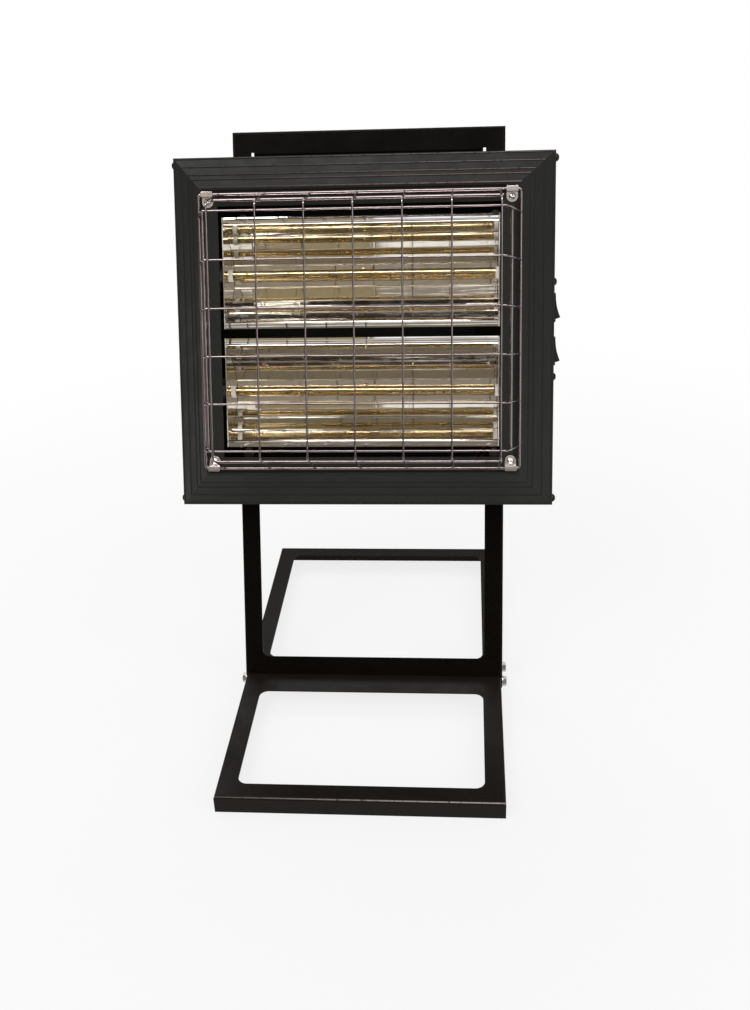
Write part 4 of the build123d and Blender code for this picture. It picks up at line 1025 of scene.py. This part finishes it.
class HEATER_OT_screws(bpy.types.Operator):
    """Turns the screws of the walls, the clips and the rear panel"""

    bl_idname = "heater.screws"
    bl_label = "Screws"

    def execute(self, context):
        recess = context.scene.heater.sizes.recess_width / MM
        recipe = screw_recipe()

        def screws(name, points, place, head, shank, share=1.0, coat="black plate"):
            return recipe.grow(drawn(name, points), {
                "Head radius": head[0] / 2, "Head height": head[1], "Shank radius": shank[0],
                "Shank length": shank[1], "Recess": recess * share, "Finish": finish(coat),
            }, HEAD @ place)

        corner = [
            screws("corner", [(a * CORNER_SCREW, side * CORNER_DEPTH, 0.0) for a in SIDES],
                   wall(side, HEAD_HALF_WIDTH), DOME, CORNER_SHANK) for side in SIDES
        ]
        beside = [(SWITCH_MIDDLE + a * BOX_SCREW, SWITCH_DEPTH, 0.0) for a in SIDES]
        box = screws("box", beside, wall(1, HEAD_HALF_WIDTH), DOME, BOX_SHANK)
        clips = screws("clip", mirrored(*CLIP_SCREW), lifted(CLIP_FACE), PAN, PAN_SHANK,
                       PAN_RECESS, "nickel plate")
        around = [point for place in PANEL_SCREWS for point in mirrored(*place)]
        panel = screws("panel", around, REARWARD, PAN, PAN_SHANK, PAN_RECESS)
        fit(joined("casing_dome_screws", corner), "black_screws", "casing_corner_screws")
        fit(joined("switch_dome_screws", [box]), "black_screws", "switch_box_screws")
        fit(joined("clip_pan_screws", [clips]), "chrome_wire", "guard_clip_screws")
        fit(joined("panel_pan_screws", [panel]), "black_screws", "rear_panel_screws")
        return {"FINISHED"}


class HEATER_OT_gland(bpy.types.Operator):
    """Adds the grip ribs of the cord gland's cap"""

    bl_idname = "heater.gland"
    bl_label = "Cord gland"

    def execute(self, context):
        around = circle(GLAND_CAP_RADIUS, context.scene.heater.sizes.gland_ribs)
        middle = Matrix.Translation((*GLAND_PLACE, -GLAND_CAP_MIDDLE))
        grip = bead_recipe().grow(drawn("ribs", around), {
            "Size": (GLAND_RIB, GLAND_RIB, GLAND_RIB_LENGTH), "Finish": finish("matt nylon"),
        }, HEAD @ middle)
        fit(joined("gland_grip", [grip]), "gland_black")
        return {"FINISHED"}


# ---------- studio


class HEATER_OT_stage(bpy.types.Operator):
    """Sets the floor, the soft lights, the white surroundings and the camera"""

    bl_idname = "heater.stage"
    bl_label = "Studio"

    def execute(self, context):
        self.floor()
        self.surroundings(context.scene)
        for flag in FLAGS:
            self.flag(*flag)
        for name, place, size, power, colour in LIGHTS:
            light = bpy.data.lights.new(name, "AREA")
            light.shape = "RECTANGLE"
            light.size, light.size_y = size
            light.energy = power
            light.color = colour
            lamp = added(name, light)
            lamp.location = place
            lamp.rotation_euler = (AIM - Vector(place)).to_track_quat("-Z", "Y").to_euler()
        self.camera(context.scene)
        context.scene.view_settings.view_transform = "Standard"
        return {"FINISHED"}

    def card(self, name, corners, material):
        """A flat card with four corners."""
        mesh = bpy.data.meshes.new(name)
        mesh.from_pydata(corners, [], [(0, 1, 2, 3)])
        mesh.materials.append(material)
        return added(name, mesh)

    def floor(self):
        """A pale floor that keeps the shadow and fades to white around it."""
        paper = Finish("pale paper", (0.86, 0.86, 0.86), roughness=0.8)
        across, along, _ = paper.axes()
        away = ((across * across + along * along) ** 0.5).ramped(*FLOOR_FADE, FLOOR_SHARE, 1.0)
        white = paper.node("ShaderNodeEmission", None, {"Color": WHITE, "Strength": 1.0})
        mix = paper.node("ShaderNodeMixShader", None, {
            0: paper.direct() * away, 1: paper.surface.outputs[0], 2: white.outputs[0],
        })
        paper.tree.links.new(mix.outputs[0], paper.output.inputs["Surface"])
        corners = [(a * FLOOR_REACH, b * FLOOR_REACH, FLOOR_DROP) for a, b in CORNERS]
        floor = self.card("floor", corners, paper.material)

    def flag(self, name, corner, along, up, colour):
        """A card that only glossy and refracted rays see."""
        glow = bpy.data.materials.new(name)
        graph = Graph(emptied(glow))
        strength = max(1.0, *colour)
        grey = graph.node("ShaderNodeEmission", None, {
            "Color": [part / strength for part in colour], "Strength": strength,
        })
        graph.node("ShaderNodeOutputMaterial", None, {"Surface": grey.outputs[0]})
        corner, along, up = Vector(corner), Vector(along), Vector(up)
        flag = self.card(name, [corner, corner + along, corner + along + up, corner + up], glow)
        flag.visible_camera = flag.visible_diffuse = flag.visible_shadow = False

    def surroundings(self, scene):
        """White to camera, glossy and refracted rays, soft grey as light."""
        world = bpy.data.worlds.new("white surroundings")
        graph = Graph(emptied(world))
        sky = graph.node("ShaderNodeBackground", None, {
            "Color": WHITE, "Strength": graph.direct().ramped(0.0, 1.0, AMBIENT, 1.0),
        })
        graph.node("ShaderNodeOutputWorld", None, {"Surface": sky.outputs[0]})
        scene.world = world

    def camera(self, scene):
        """The photograph's view: yaw, pitch and roll, and a lens in pixels."""
        yaw, pitch, roll = (radians(turn) for turn in CAMERA_TURNS)
        ahead = Vector((-sin(yaw) * cos(pitch), cos(yaw) * cos(pitch), -sin(pitch)))
        level = Vector((cos(yaw), sin(yaw), 0.0))
        above = level.cross(ahead)
        right = level * cos(roll) + above * sin(roll)
        top = above * cos(roll) - level * sin(roll)
        data = bpy.data.cameras.new("camera")
        data.lens = data.sensor_width * CAMERA_FOCAL / IMAGE_HEIGHT
        data.clip_start, data.clip_end = CAMERA_RANGE
        camera = added("camera", data)
        turns = Matrix((right, top, -ahead)).transposed().to_4x4()
        camera.matrix_world = Matrix.Translation(CAMERA_PLACE) @ turns
        scene.camera = camera


# ---------- panel and run


class HEATER_PT_panel(bpy.types.Panel):
    """Lists the heater's settings and steps"""

    bl_idname = "HEATER_PT_panel"
    bl_label = "Infrared heater"
    bl_space_type = "VIEW_3D"
    bl_region_type = "UI"
    bl_category = "Heater"

    def draw(self, context):
        settings = context.scene.heater
        for group in (settings.sizes, settings.colours):
            column = self.layout.column(align=True)
            for name in group.__annotations__:
                column.prop(group, name)
        for step in STEPS:
            self.layout.operator(step.bl_idname)


STEPS = (
    HEATER_OT_finishes,
    HEATER_OT_edges,
    HEATER_OT_guard,
    HEATER_OT_lamps,
    HEATER_OT_bolts,
    HEATER_OT_screws,
    HEATER_OT_gland,
    HEATER_OT_stage,
)
CLASSES = (HeaterSizes, HeaterColours, HeaterSettings, *STEPS, HEATER_PT_panel)


def register():
    """Registers the settings, the steps and the panel."""
    for one in CLASSES:
        bpy.utils.register_class(one)
    bpy.types.Scene.heater = PointerProperty(type=HeaterSettings)


def unregister():
    """Takes them away again."""
    del bpy.types.Scene.heater
    for one in reversed(CLASSES):
        bpy.utils.unregister_class(one)


def main():
    """Makes the heater and its studio."""
    register()
    for step in STEPS:
        group, name = step.bl_idname.split(".")
        getattr(getattr(bpy.ops, group), name)()


if __name__ == "__main__":
    main()
